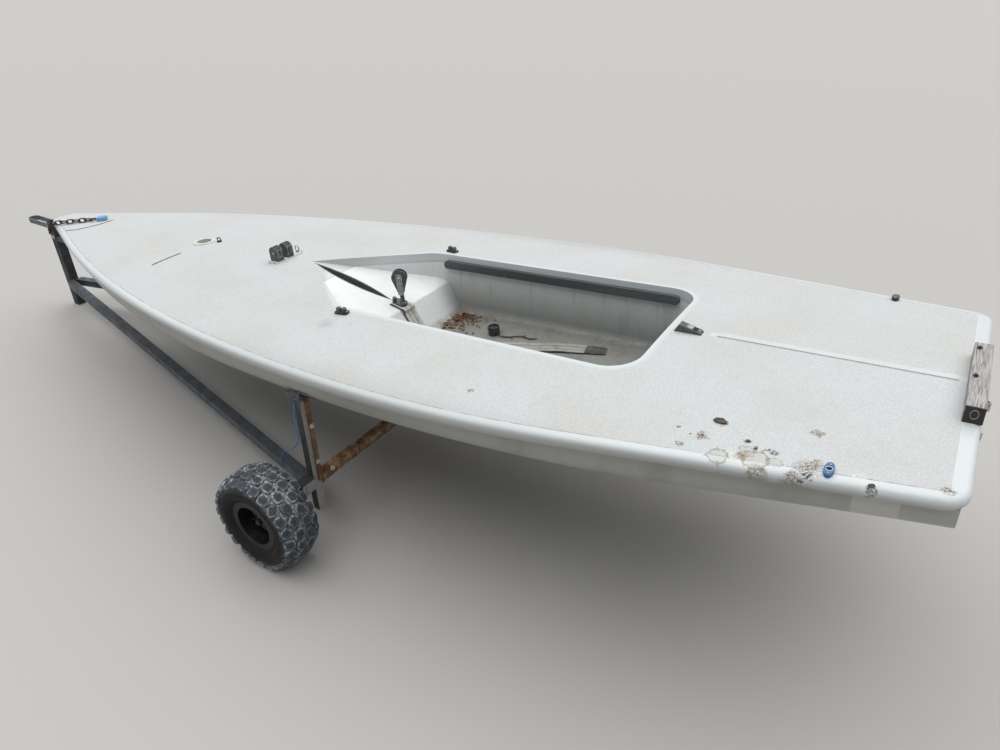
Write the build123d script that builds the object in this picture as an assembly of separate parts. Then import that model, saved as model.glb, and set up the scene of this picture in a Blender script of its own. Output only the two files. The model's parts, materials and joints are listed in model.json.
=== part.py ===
from build123d import *
from math import asin, atan, atan2, cos, degrees, hypot, radians, sin, sqrt, tan
import os

# Single-handed sailing dinghy without mast or sail, standing on its launching trolley.
# Millimetres. +X toward the bow, +Y to port, +Z up. The floor is at z = 0.
# The hull and what is on it are drawn with x from the transom and z from the deck's centre line,
# then set on the trolley, a little down by the bow.

# Hull, plan view of the deck
LENGTH = 4230.0
BEAM = 1370.0
TRANSOM_BEAM = 0.718 * BEAM
WIDEST_X = 0.355 * LENGTH
BOW_HALF_ANGLE = degrees(atan2(1.2475 * BEAM, LENGTH))
BOW_TIP_RADIUS = 80.0
RUN_HALF_ANGLE = degrees(atan2(0.5056 * BEAM, LENGTH))
TRANSOM_CORNER = 60.0

# Deck and gunwale
DECK_CROWN_RADIUS = 5870.0
GUNWALE_DEPTH = 36.0
GUNWALE_ROUND = 16.0
GUNWALE_OVERHANG = 22.0
HULL_DEPTH = 334.0
SKIN = 5.0
TRANSOM_INSET = 14.0

# Cockpit: the ramp leads from its point at the bow end down to the well
RAMP_LENGTH = 475.0
RAMP_DROP = 120.0
RAMP_FOOT_X = 0.4405 * LENGTH
APEX_X = RAMP_FOOT_X + RAMP_LENGTH
COCKPIT_FRONT_X = RAMP_FOOT_X + 50.0
COCKPIT_LENGTH = 1095.0
COCKPIT_AFT_X = COCKPIT_FRONT_X - COCKPIT_LENGTH
COCKPIT_HALF_FRONT = 287.0
COCKPIT_HALF_AFT = 300.0
COCKPIT_DEPTH = 233.0
COCKPIT_AFT_CORNER = 100.0
COCKPIT_FRONT_CORNER = 120.0
COCKPIT_DRAFT = 6.0
WELL_WALL_RUN = 70.0
WELL_WALL_X = RAMP_FOOT_X - WELL_WALL_RUN
RAMP_FOOT_ROUND = 12.0
WELL_ROUND = 30.0

# Slot for the daggerboard, a lens in plan, and the mast step
SLOT_FRONT_X = APEX_X - 30.0
SLOT_AFT_X = RAMP_FOOT_X + 80.0
SLOT_WIDTH = 36.0
MAST_X = 0.714 * LENGTH
MAST_BORE = 65.0
MAST_DEPTH = 250.0
MAST_TUBE_WALL = 4.0
MAST_FLANGE = 96.0
MAST_FLANGE_THICK = 4.0

# How the boat lies on the trolley
BOW_DOWN = 3.7
TRANSOM_HEIGHT = 813.0
SEAT_GAP = 0.3

# Wheels
TYRE_RADIUS = 178.0
TYRE_WIDTH = 156.0
LUG_HEIGHT = 8.0
WALL_RADIUS = 128.0
CROWN_HALF = 28.0
LUG_COUNT = 24
RIM_RADIUS = 0.522 * TYRE_RADIUS
BARREL_RADIUS = 0.416 * TYRE_RADIUS
BEAD_HALF = 0.346 * TYRE_WIDTH
RIM_WALL = 3.0
WEB_SET = 4.0
WEB_DISH = 22.0
HUB_RADIUS = 22.0
HUB_HALF = 40.0
HUB_RECESS = 20.0
SHAFT_RADIUS = 10.0
SHAFT_FIT = 0.05

# Trolley
AXLE_X = 0.4275 * LENGTH
AXLE_Z = TYRE_RADIUS + 0.45
TRACK = 1660.0
UPRIGHT_EDGE = 75.0
UPRIGHT_Y = BEAM / 2 - UPRIGHT_EDGE
UPRIGHT_INSET = TRACK / 2 - UPRIGHT_Y
UPRIGHT_LONG = 28.0
UPRIGHT_WIDE = 35.0
UPRIGHT_WALL = 3.0
UPRIGHT_BOTTOM = 55.0
STUB_RADIUS = 18.0
PAD_LENGTH = 64.0
PAD_WIDTH = 60.0
PAD_THICK = 10.0
BRACKET_WIDE = 0.27 * UPRIGHT_INSET
BRACKET_LONG = 1.5 * UPRIGHT_LONG
BRACKET_TALL = 1.5 * UPRIGHT_LONG
BEAM_RADIUS = 25.0
TUBE_WALL = 3.0
BRACE_WIDE = UPRIGHT_WIDE / 2
BRACE_THICK = 6.0
DRAWBAR_WIDTH = 40.0
DRAWBAR_HEIGHT = 35.0
DRAWBAR_WALL = 2.5
DRAWBAR_Z = 135.0
POST = 45.0
POST_X = LENGTH + 100.0
POST_TOP = 492.0
HANDLE_REACH = 230.0
HANDLE_BAR = 6.0
HANDLE_TALL = 25.0
HANDLE_Z = POST_TOP - 32.0
CHOCK_LENGTH = 80.0
CHOCK_X = LENGTH - 110.0
CHOCK_WIDE = 2 * POST
CHOCK_THICK = 22.0
ARM_TALL = 24.0
ARM_WIDE = 40.0
SLING_WIDTH = 55.0
SLING_THICK = 4.0
SLING_X = AXLE_X - 48.0
SLING_REACH = 30.0
TWINE_RADIUS = 2.0
MIDDLE_X = (POST_X - POST / 3 + HANDLE_REACH - 30.432) / 2

# Fittings of the boat
RAIL_FRONT_X = WELL_WALL_X + 75.0
RAIL_AFT_X = COCKPIT_AFT_X + 70.0
RAIL_Z = -44.0
RAIL_HEIGHT = 30.0
RAIL_THICK = 16.0
CLEAT_X = RAMP_FOOT_X
CLEAT_CLEAR = 38.0
CLEAT_LENGTH = 50.0
CLEAT_WIDTH = 26.0
CLEAT_BASE = 7.0
CAM_SPACING = 22.0
CAM_RADIUS = 9.0
CAM_HEIGHT = 14.0
BLOCK_X = APEX_X + 140.0
BLOCK_PLATE = (52.0, 150.0, 4.0)
BLOCK_SHIFT = 8.0
BLOCK_RIBS = 4
BLOCK_WIDTH = 32.0
BLOCK_LENGTH = 46.0
BLOCK_HEIGHT = 60.0
EYE_RING = 11.0
EYE_WIRE = 2.5
MAST_EYE_X = MAST_X - 70.0
SHEET_X = RAMP_FOOT_X + 30.0
STEM_X = SHEET_X - 18.0
SHEET_PLATE = (62.0, 40.0, 5.0)
SHEET_TURN = 32.0
SHEET_RISE = 42.0
SHEET_BLOCK_WIDTH = 58.0
SHEET_BLOCK_HEIGHT = 100.0
SHEET_BLOCK_THICK = 26.0
STRAP_WIDTH = 68.0
STRAP_THICK = 4.0
STRAP_GAP = 0.52 * STRAP_THICK
STRAP_START_X = RAMP_FOOT_X + 53.0
STRAP_TURN_X = WELL_WALL_X - 95.0
STRAP_END_X = COCKPIT_AFT_X + 362.0
STRAP_END_Y = -152.0
STRAP_END_SLOPE = 0.24
STRAP_STEPS = 8
TAIL_LENGTH = 77.0
FLOOR_CUP_X = WELL_WALL_X - 238.0
FLOOR_CUP_Y = -130.0
GUDGEON_PLATE = 60.0
GUDGEON_REACH = 26.0
GUDGEON_EYE = 8.0
GUDGEON_TALL = 24.0
PLUG_Y = 70.0
PLUG_Z = -0.45 * HULL_DEPTH
RIDGE_START_X = 60.0
RIDGE_WIDTH = 24.0
RIDGE_HEIGHT = 3.0
WEDGE_LENGTH = 84.0
WEDGE_WIDTH = 28.0
WEDGE_HEIGHT = 24.0
WEDGE_BACK = 107.0
WEDGE_X = COCKPIT_AFT_X - WEDGE_BACK
FAIRLEAD_X = 265.0
FAIRLEAD_EDGE = 32.0
TIMBER = (42.0, 350.0, 40.0)
TIMBER_SHIFT = 29.0
PADLOCK = (46.0, 38.0, 20.0)
PADLOCK_REACH = 30.0
SHACKLE_WIRE = 5.0
CHAIN_LINK = (44.0, 27.0, 7.0)
CHAIN_SLACK = 0.5
CHAIN_LIFT = 0.354 * CHAIN_LINK[1] + 0.146 * CHAIN_LINK[2] + SEAT_GAP
CHAIN_START = 300.0
CHAIN_EDGE = 165.0
CHAIN_START_X = LENGTH - CHAIN_START
CHAIN_EDGE_X = LENGTH - CHAIN_EDGE
CHAIN_BEND = 70.0

# The hull's cross sections, station by station: share of the length from the transom, share of the
# depth at the keel, radius across the bottom, radius of the bilge, lean of the side in degrees
HULL_STATIONS = [
    (0.1064, 0.725, 1500.0, 85.0, 6.0),
    (0.2010, 0.832, 1500.0, 100.0, 6.0),
    (0.2955, 0.910, 1400.0, 115.0, 6.0),
    (0.4137, 0.973, 1250.0, 125.0, 6.0),
    (0.5556, 1.000, 1050.0, 130.0, 7.0),
    (0.6856, 0.943, 800.0, 120.0, 9.0),
    (0.7920, 0.820, 560.0, 95.0, 11.0),
    (0.8865, 0.623, 360.0, 62.0, 13.0),
    (0.9504, 0.419, 215.0, 32.0, 15.0),
    (0.9811, 0.275, 125.0, 15.0, 16.0),
    (0.9917, 0.198, 70.0, 8.0, 16.0),
]
TRANSOM_STATION = (TRANSOM_INSET / LENGTH, 0.599, 1400.0, 60.0, 6.0)

# The two rudder fittings: height against the hull's depth, and the hole for the rudder's pin
GUDGEON_ROWS = [(-0.186, 8.8), (-0.45, 8.2)]

# The two turning blocks ahead of the cockpit: place across
BLOCK_PLACES = (52.0, -2.0)

# Rows of tyre blocks: share of the width, drop in radius, tilt, length round, width, share of a pitch
LUG_ROWS = [
    (-0.14, 7.0, 0.0, 30.0, 26.0, 0.0),
    (0.14, 7.0, 0.0, 30.0, 26.0, 0.5),
    (-0.36, 14.0, 22.0, 28.0, 30.0, 0.5),
    (0.36, 14.0, -22.0, 28.0, 30.0, 0.0),
]


def half_beam_arcs():
    """Radii and ends of the two large arcs of the deck's edge, from the widest point."""
    half = BEAM / 2
    bow = radians(BOW_HALF_ANGLE)
    run = radians(RUN_HALF_ANGLE)
    apex = LENGTH + BOW_TIP_RADIUS * (1 / sin(bow) - 1)
    fore = (tan(bow) * (apex - WIDEST_X) - half) / (tan(bow) * sin(bow) - (1 - cos(bow)))
    aft_rise = half - TRANSOM_BEAM / 2 - tan(run) * WIDEST_X
    aft = aft_rise / ((1 - cos(run)) - tan(run) * sin(run))
    return apex, fore, aft


def half_beam(x):
    """Half breadth of the deck at a station, without the rounded corners."""
    apex, fore, aft = half_beam_arcs()
    bow = radians(BOW_HALF_ANGLE)
    run = radians(RUN_HALF_ANGLE)
    if x >= WIDEST_X + fore * sin(bow):
        return (apex - x) * tan(bow)
    if x >= WIDEST_X:
        return BEAM / 2 - fore + sqrt(fore**2 - (x - WIDEST_X)**2)
    if x >= WIDEST_X - aft * sin(run):
        return BEAM / 2 - aft + sqrt(aft**2 - (x - WIDEST_X)**2)
    return TRANSOM_BEAM / 2 + x * tan(run)


def deck_z(y):
    """Height of the crowned deck off the centre line."""
    return sqrt(DECK_CROWN_RADIUS**2 - y**2) - DECK_CROWN_RADIUS


def plan_face():
    """The deck seen from above."""
    apex, fore, aft = half_beam_arcs()
    half = BEAM / 2
    bow = radians(BOW_HALF_ANGLE)
    run = radians(RUN_HALF_ANGLE)
    widest = (WIDEST_X, half)
    fore_end = (WIDEST_X + fore * sin(bow), half - fore * (1 - cos(bow)))
    aft_end = (WIDEST_X - aft * sin(run), half - aft * (1 - cos(run)))
    corner = (0.0, TRANSOM_BEAM / 2)
    port = [
        Line((apex, 0), fore_end),
        TangentArc(fore_end, widest, tangent=(-cos(bow), sin(bow))),
        TangentArc(widest, aft_end, tangent=(-1, 0)),
        Line(aft_end, corner),
    ]
    starboard = [mirror(edge, about=Plane.XZ) for edge in port]
    transom = Line(corner, (corner[0], -corner[1]))
    face = make_face(port + [transom] + starboard)
    by_x = face.vertices().sort_by(Axis.X)
    face = fillet([by_x[-1]], BOW_TIP_RADIUS)
    return fillet(face.vertices().sort_by(Axis.X)[:2], TRANSOM_CORNER)


def deck_cylinder(depth):
    """All the space under a surface that lies depth below the crowned deck."""
    tall = Cylinder(DECK_CROWN_RADIUS - depth, 1.25 * LENGTH, rotation=(0, 90, 0))
    return Pos(LENGTH / 2, 0, -DECK_CROWN_RADIUS) * tall


def station_face(share, depth, bottom, bilge, lean, grow):
    """One cross section of the hull below the deck, grown outward by grow."""
    x = share * LENGTH
    keel = depth * HULL_DEPTH
    top = -GUNWALE_DEPTH / 2
    edge = deck_z(half_beam(x)) - GUNWALE_DEPTH
    width = max(half_beam(x) - GUNWALE_OVERHANG, 18.0) + tan(radians(lean)) * (top - edge)
    width += grow / cos(radians(lean))
    keel += grow
    bottom += grow
    bilge += grow
    angle = radians(lean)
    down = (-sin(angle), -cos(angle))
    inward = (-cos(angle), sin(angle))
    centre = (0.0, bottom - keel)
    start = (width + bilge * inward[0], top + bilge * inward[1])
    rel = (start[0] - centre[0], start[1] - centre[1])
    half_b = rel[0] * down[0] + rel[1] * down[1]
    const = rel[0]**2 + rel[1]**2 - (bottom - bilge)**2
    run = -half_b + sqrt(half_b**2 - const)
    mid = (start[0] + run * down[0], start[1] + run * down[1])
    side_end = (width + run * down[0], top + run * down[1])
    reach = hypot(mid[0] - centre[0], mid[1] - centre[1])
    turn = ((mid[0] - centre[0]) / reach, (mid[1] - centre[1]) / reach)
    bottom_end = (centre[0] + bottom * turn[0], centre[1] + bottom * turn[1])
    out = (-inward[0] + turn[0], -inward[1] + turn[1])
    size = hypot(*out)
    bilge_mid = (mid[0] + bilge * out[0] / size, mid[1] + bilge * out[1] / size)

    def at(point, side=1):
        return (x, side * point[0], point[1])

    top_port = (width, top)
    edges = [
        Line(at(top_port, -1), at(top_port)),
        Line(at(top_port), at(side_end)),
        ThreePointArc(at(side_end), at(bilge_mid), at(bottom_end)),
        ThreePointArc(at(bottom_end), at((0.0, -keel)), at(bottom_end, -1)),
        ThreePointArc(at(bottom_end, -1), at(bilge_mid, -1), at(side_end, -1)),
        Line(at(side_end, -1), at(top_port, -1)),
    ]
    return make_face(edges)


def slot_prism(grow, top, bottom):
    """A vertical prism with the daggerboard slot's lens shape, larger all round by grow."""
    middle = (SLOT_FRONT_X + SLOT_AFT_X) / 2
    front = (SLOT_FRONT_X + 3 * grow, 0)
    aft = (SLOT_AFT_X - 3 * grow, 0)
    half = SLOT_WIDTH / 2 + grow
    lens = make_face([ThreePointArc(aft, (middle, half), front), ThreePointArc(front, (middle, -half), aft)])
    return Pos(0, 0, bottom) * extrude(lens, top - bottom)


def corner_list(shape, x):
    """The upright edges of a prism at one station."""
    return [vertex for vertex in shape.vertices() if abs(vertex.X - x) < 1]


def cockpit_void(grow):
    """The open space of the cockpit, made larger all round by grow."""
    plan = Polygon(
        (APEX_X + 1.6 * grow, 0),
        (COCKPIT_FRONT_X, COCKPIT_HALF_FRONT + grow),
        (COCKPIT_AFT_X - grow, COCKPIT_HALF_AFT + grow),
        (COCKPIT_AFT_X - grow, -COCKPIT_HALF_AFT - grow),
        (COCKPIT_FRONT_X, -COCKPIT_HALF_FRONT - grow),
        align=None,
    )
    by_x = plan.vertices().sort_by(Axis.X)
    plan = fillet(by_x[:2], COCKPIT_AFT_CORNER + grow)
    plan = fillet(corner_list(plan, COCKPIT_FRONT_X), COCKPIT_FRONT_CORNER + grow)
    tall = COCKPIT_DEPTH + grow
    block = extrude(plan, -tall, taper=COCKPIT_DRAFT)
    block += extrude(plan, 60)
    slope = atan2(RAMP_DROP, APEX_X - RAMP_FOOT_X)
    lift = grow / cos(slope)
    profile = Polyline(
        (COCKPIT_AFT_X - 60, 80),
        (COCKPIT_AFT_X - 60, -tall),
        (WELL_WALL_X + grow, -tall),
        (RAMP_FOOT_X + grow, -RAMP_DROP - lift),
        (APEX_X + 60, tan(slope) * 60 - lift),
        (APEX_X + 60, 80),
        close=True,
    )
    side = extrude(Plane.XZ * make_face(profile), BEAM / 2, both=True)
    void = block & side
    floor = [edge for edge in void.edges() if abs(edge.center().Z + tall) < 1]
    foot = void.edges().sort_by_distance((RAMP_FOOT_X + grow, 0, -RAMP_DROP - lift))[:1]
    return fillet(fillet(floor, WELL_ROUND + grow).edges().sort_by_distance(foot[0].center())[:1], RAMP_FOOT_ROUND)


def is_upright(edge):
    """True for an edge that runs up and down."""
    return abs(edge.tangent_at(0.5).Z) > 0.5


def hull_body(grow):
    """The hull's solid body below the deck, made larger all round by grow."""
    return loft([station_face(*row, grow) for row in [TRANSOM_STATION] + HULL_STATIONS])


def aboard(shape):
    """Set a piece of the boat on the trolley."""
    return Pos(0, 0, TRANSOM_HEIGHT) * Rot(0, BOW_DOWN, 0) * shape


def on_deck(x, y, turn=0.0):
    """A place on the crowned deck, square to its surface."""
    lean = degrees(asin(y / DECK_CROWN_RADIUS))
    return Pos(x, y, deck_z(y)) * Rot(-lean, 0, 0) * Rot(0, 0, turn)


def ramp_z(x):
    """Height of the ramp that leads down into the cockpit."""
    return (x - APEX_X) * RAMP_DROP / (APEX_X - RAMP_FOOT_X)


def on_ramp(x, y=0.0, turn=0.0):
    """A place on the ramp, square to its surface."""
    slope = degrees(atan2(RAMP_DROP, APEX_X - RAMP_FOOT_X))
    return Pos(x, y, ramp_z(x)) * Rot(0, -slope, 0) * Rot(0, 0, turn)


def upright_disc(radius, height, bottom=0.0):
    """A round bar standing on the given height."""
    return Pos(0, 0, bottom + height / 2) * Cylinder(radius, height)


def upright_box(length, width, height, bottom=0.0):
    """A block standing on the given height."""
    return Pos(0, 0, bottom + height / 2) * Box(length, width, height)


def bar_between(start, end, width, height, wall=0.0):
    """A straight rectangular bar or tube, its height kept upright."""
    run = Vector(*end) - Vector(*start)
    across = Vector(-run.Y, run.X, 0)
    if across.length < 1e-6:
        across = Vector(0, 1, 0)
    plane = Plane(origin=start, x_dir=across, z_dir=run)
    shape = Rectangle(width, height)
    if wall:
        shape -= Rectangle(width - 2 * wall, height - 2 * wall)
    return extrude(plane * shape, run.length)


def ring_shape(major, minor):
    """A plain ring lying flat, of six-sided wire."""
    wire = Plane.XZ * (Pos(major, 0) * RegularPolygon(minor, 6))
    return revolve(wire, Axis.Z)


def make_shell():
    """The deck, the hull under it, the cockpit tub and the daggerboard case."""
    plan = Pos(0, 0, -200) * extrude(plan_face(), 300)
    slab = (plan & deck_cylinder(0)) - deck_cylinder(GUNWALE_DEPTH)
    rims = [edge for edge in slab.edges() if not is_upright(edge)]
    deck = fillet(rims, GUNWALE_ROUND)

    under = deck_cylinder(GUNWALE_DEPTH)
    body = hull_body(0)
    void = cockpit_void(0)
    shell = cockpit_void(SKIN)
    mast_hole = upright_disc(MAST_BORE / 2 + MAST_TUBE_WALL, MAST_DEPTH + 50, -MAST_DEPTH)
    mast_hole = Pos(MAST_X, 0, 0) * mast_hole
    case_outer = slot_prism(SKIN, 60, -1.5 * HULL_DEPTH)
    case_inner = slot_prism(0, 60, -1.5 * HULL_DEPTH)

    case = case_outer & (body & under)
    case += case_outer & slab
    case = case - case_inner - void
    tub = (shell & under) - void - case_outer
    hull = (body & under) - shell - case_outer - mast_hole
    ridge_length = COCKPIT_AFT_X - 150 - RIDGE_START_X
    ridge = Pos(RIDGE_START_X + ridge_length / 2, 0, 0) * Box(ridge_length, RIDGE_WIDTH, 2 * GUNWALE_ROUND)
    ridge = ridge & deck_cylinder(-RIDGE_HEIGHT)
    deck = deck + ridge - void - case_outer - mast_hole
    return hull, deck, tub, case


def make_mast_step():
    flange = upright_disc(MAST_FLANGE / 2, MAST_FLANGE_THICK)
    flange = fillet(flange.edges().sort_by(Axis.Z)[-1:], 1.5)
    tube = upright_disc(MAST_BORE / 2 + MAST_TUBE_WALL, MAST_DEPTH + 1, -MAST_DEPTH)
    step = flange + tube - upright_disc(MAST_BORE / 2, MAST_DEPTH + 50, -MAST_DEPTH + 6)
    return Pos(MAST_X, 0, 0) * step


def make_rail(side):
    """A grab rail on the cockpit's side wall, under the lip."""
    length = RAIL_FRONT_X - RAIL_AFT_X
    middle = (RAIL_FRONT_X + RAIL_AFT_X) / 2
    outline = Plane.XZ * (Pos(middle, RAIL_Z) * RectangleRounded(length, RAIL_HEIGHT, RAIL_HEIGHT / 2 - 0.5))
    bar = extrude(outline, BEAM, both=True)
    wall = cockpit_void(0) - cockpit_void(-RAIL_THICK)
    bar = bar & wall & (Pos(middle, side * 300, 0) * Box(length + 10, 200, 400))
    return bar


def make_cleat_base():
    return fillet(upright_box(CLEAT_LENGTH, CLEAT_WIDTH, CLEAT_BASE).edges().filter_by(Axis.Z), 6)


def make_cleat_cams():
    cams = []
    for offset in (-CAM_SPACING / 2, CAM_SPACING / 2):
        cam = upright_disc(CAM_RADIUS, CAM_HEIGHT, CLEAT_BASE)
        cams.append(Pos(offset, 0, 0) * chamfer(cam.edges().sort_by(Axis.Z)[-1:], 1.5))
    return cams


def make_turning_block():
    """A small upright block with ribbed round-topped cheeks."""
    parts = []
    for place in range(BLOCK_RIBS):
        offset = (place - (BLOCK_RIBS - 1) / 2) * BLOCK_WIDTH / (BLOCK_RIBS - 0.4)
        parts.append((offset, BLOCK_WIDTH / (2 * BLOCK_RIBS), 0.0))
    shape = None
    for offset, thick, inset in parts + [(0.0, BLOCK_WIDTH * 0.9, 3.0)]:
        radius = BLOCK_LENGTH / 2 - inset
        face = Pos(0, BLOCK_HEIGHT - BLOCK_LENGTH / 2) * Circle(radius)
        face += Pos(0, (BLOCK_HEIGHT - BLOCK_LENGTH / 2) / 2) * Rectangle(
            2 * radius, BLOCK_HEIGHT - BLOCK_LENGTH / 2)
        slab = Pos(0, offset, 0) * extrude(Plane.XZ * face, thick / 2, both=True)
        shape = slab if shape is None else shape + slab
    return shape


def make_mainsheet_block():
    """A teardrop block standing on end: two cheeks, the sheave between them and the centre straps."""
    reach = SHEET_BLOCK_HEIGHT - SHEET_BLOCK_WIDTH / 2
    cheek_edge = SHEET_BLOCK_WIDTH / 2
    cheek = make_hull([(Pos(0, reach) * Circle(cheek_edge)).edge(), (Pos(0, 10) * Circle(10)).edge()])
    thick = SHEET_BLOCK_THICK / 5
    shape = None
    for side in (-1, 1):
        offset = side * (SHEET_BLOCK_THICK - thick) / 2
        slab = Pos(0, offset, 0) * extrude(Plane.XZ * cheek, thick / 2, both=True)
        strap = Pos(0, offset + side * thick / 2, reach * 0.62) * Box(13, 3, reach * 1.2)
        shape = slab + strap if shape is None else shape + slab + strap
    groove = SHEET_BLOCK_THICK - 2 * thick
    sheave = Cylinder(cheek_edge - 6, groove, rotation=(90, 0, 0))
    foot = Pos(0, 0, 9) * Box(16, groove, 18)
    return shape + Pos(0, 0, reach) * sheave + foot


def make_mainsheet_base():
    """The plate on the ramp with a knob and the post that carries the block."""
    length, width, thick = SHEET_PLATE
    plate = extrude(RectangleRounded(length, width, width / 2 - 1), thick)
    plate = on_ramp(SHEET_X) * Pos(0, 0, STRAP_THICK + 0.1) * plate
    low = ramp_z(STEM_X) + STRAP_THICK + thick
    stem = Pos(STEM_X, 0, 0) * upright_disc(8, ramp_z(SHEET_X) + SHEET_RISE - low, low)
    collar = on_ramp(STEM_X) * upright_disc(14, 12, STRAP_THICK + thick / 2)
    knob = on_ramp(SHEET_X + 18, 10) * upright_disc(8, 16, STRAP_THICK + thick)
    return plate + stem + collar + knob


def clear_corner(corner, before, after, gap):
    """The corner of a line that runs along a bent surface at the given gap."""
    return Vector(*corner) + (before + after) * (gap / (1 + before.dot(after)))


def strap_route():
    """Centre line of the part of the strap that lies on the cockpit floor."""
    ends = (STRAP_TURN_X, 0), (STRAP_END_X, STRAP_END_Y)
    return Spline(*ends, tangents=[(-1, 0), (-1, -STRAP_END_SLOPE)])


def make_strap():
    """The slack hiking strap: down the ramp and the well's front wall, then flat along the floor."""
    slope = atan2(RAMP_DROP, APEX_X - RAMP_FOOT_X)
    steep = atan2(COCKPIT_DEPTH - RAMP_DROP, WELL_WALL_RUN)
    off_ramp = Vector(-sin(slope), 0, cos(slope))
    off_wall = Vector(-sin(steep), 0, cos(steep))
    start = Vector(STRAP_START_X, 0, ramp_z(STRAP_START_X)) + off_ramp * STRAP_GAP
    bend = clear_corner((RAMP_FOOT_X, 0, -RAMP_DROP), off_ramp, off_wall, STRAP_GAP)
    foot = clear_corner((WELL_WALL_X, 0, -COCKPIT_DEPTH), off_wall, Vector(0, 0, 1), STRAP_GAP)
    middle = (bend + foot) * 0.5
    turn = Vector(STRAP_TURN_X, 0, STRAP_GAP - COCKPIT_DEPTH)
    upper = FilletPolyline(start, bend, middle, radius=RAMP_FOOT_ROUND + STRAP_GAP)
    lower = FilletPolyline(middle, foot, turn, radius=WELL_ROUND + 10)
    path = Wire(upper.edges() + lower.edges())
    section = Plane(origin=start, x_dir=(0, 1, 0), z_dir=path % 0) * Rectangle(STRAP_WIDTH, STRAP_THICK)
    falling = sweep(section, path=path)
    route = strap_route()
    edges = []
    for side in (-1, 1):
        points = []
        for index in range(STRAP_STEPS + 1):
            ahead = route % (index / STRAP_STEPS)
            points.append(route @ (index / STRAP_STEPS) + Vector(-ahead.Y, ahead.X) * side * STRAP_WIDTH / 2)
        edges.append(Spline(*points))
    band = make_face(edges + [Line(edges[0] @ 0, edges[1] @ 0), Line(edges[0] @ 1, edges[1] @ 1)])
    flat = extrude(band.face(), STRAP_THICK, dir=(0, 0, 1))
    return falling + Pos(0, 0, STRAP_GAP - COCKPIT_DEPTH - STRAP_THICK / 2) * flat


def make_gudgeon(bore):
    """A rudder fitting: a plate on the transom with an eye standing aft of it."""
    plate = Pos(-1.5, 0, 0) * Box(3, GUDGEON_PLATE, GUDGEON_TALL + 6)
    tongue = Pos(-GUDGEON_REACH / 2, 0, 0) * Box(GUDGEON_REACH - 6, GUDGEON_EYE, GUDGEON_TALL)
    eye = Pos(-GUDGEON_REACH, 0, 0) * Cylinder(GUDGEON_EYE, GUDGEON_TALL)
    return plate + tongue + eye - Pos(-GUDGEON_REACH, 0, 0) * Cylinder(bore / 2, 2 * GUDGEON_TALL)


def make_link():
    """One oval chain link lying flat, of six-sided wire."""
    length, width, wire = CHAIN_LINK
    path = Wire(SlotOverall(length - wire, width - wire).edges())
    section = Plane(origin=path @ 0, z_dir=path % 0) * RegularPolygon(wire / 2, 6)
    return sweep(section, path=path)


def chain_along(path):
    """Links along a path, every other one turned a quarter."""
    length, width, wire = CHAIN_LINK
    pitch = length - 2 * wire - CHAIN_SLACK
    link = make_link()
    links = []
    for index in range(int(path.length / pitch)):
        start = path.position_at(index * pitch, PositionMode.LENGTH)
        end = path.position_at((index + 1) * pitch, PositionMode.LENGTH)
        ahead = (end - start).normalized()
        place = Plane(origin=(start + end) * 0.5, x_dir=ahead, z_dir=Vector(0, 0, 1) - ahead * ahead.Z)
        roll = 45 + 90 * (index % 2)
        links.append(place.location * Rot(roll, 0, 0) * link)
    return links


def make_padlock():
    """The padlock's body lying on the deck, its shackle hole at the origin."""
    length, width, thick = PADLOCK
    body = fillet(upright_box(length, width, thick).edges(), 4)
    return Pos(-PADLOCK_REACH - length / 2, 0, 0) * body


def make_shackle():
    """The padlock's bow, from the body out to the chain's first link."""
    width = PADLOCK[1] - 4
    reach = PADLOCK_REACH + SHACKLE_WIRE + 6 * CHAIN_SLACK
    outer = SlotOverall(2 * reach, width)
    bow = outer - SlotOverall(2 * (reach - SHACKLE_WIRE), width - 2 * SHACKLE_WIRE)
    keep = Pos(reach / 2, 0) * Rectangle(reach, width)
    return Pos(-PADLOCK_REACH, 0, CHAIN_LIFT - SHACKLE_WIRE / 2) * extrude(bow & keep, SHACKLE_WIRE)


def tyre_profile():
    """Half section of the tyre, radius against width."""
    half = TYRE_WIDTH / 2
    tread = TYRE_RADIUS - LUG_HEIGHT
    outer = [
        (BARREL_RADIUS, BEAD_HALF), (RIM_RADIUS + 4, BEAD_HALF), (WALL_RADIUS, half - 2), (tread - 18, half - 6),
        (tread - 4, half - 24), (tread, CROWN_HALF),
    ]
    inner = [
        (tread - 10, CROWN_HALF - 6), (tread - 22, half - 20), (WALL_RADIUS, half - 12), (RIM_RADIUS + 2, BEAD_HALF - 10),
        (BARREL_RADIUS, BEAD_HALF - 12),
    ]
    right = [(w, r) for r, w in outer]
    left = [(-w, r) for r, w in reversed(outer)]
    back = [(-w, r) for r, w in reversed(inner)]
    front = [(w, r) for r, w in inner]
    return right + left + back + front


def make_tyre():
    """The tyre about its own middle, axis along Y, with its blocks."""
    ring = make_face(Polyline(*[(w, r) for w, r in tyre_profile()], close=True))
    carcass = revolve(Plane.YZ * ring, Axis.Y)
    blocks = []
    for share, drop, tilt, long, wide, shift in LUG_ROWS:
        block = Box(long, wide, LUG_HEIGHT + 6)
        block = Pos(0, share * TYRE_WIDTH, TYRE_RADIUS - drop) * Rot(tilt, 0, 0) * block
        for index in range(LUG_COUNT):
            blocks.append(Rot(0, (index + shift) * 360 / LUG_COUNT, 0) * block)
    return carcass.fuse(*blocks)


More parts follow.
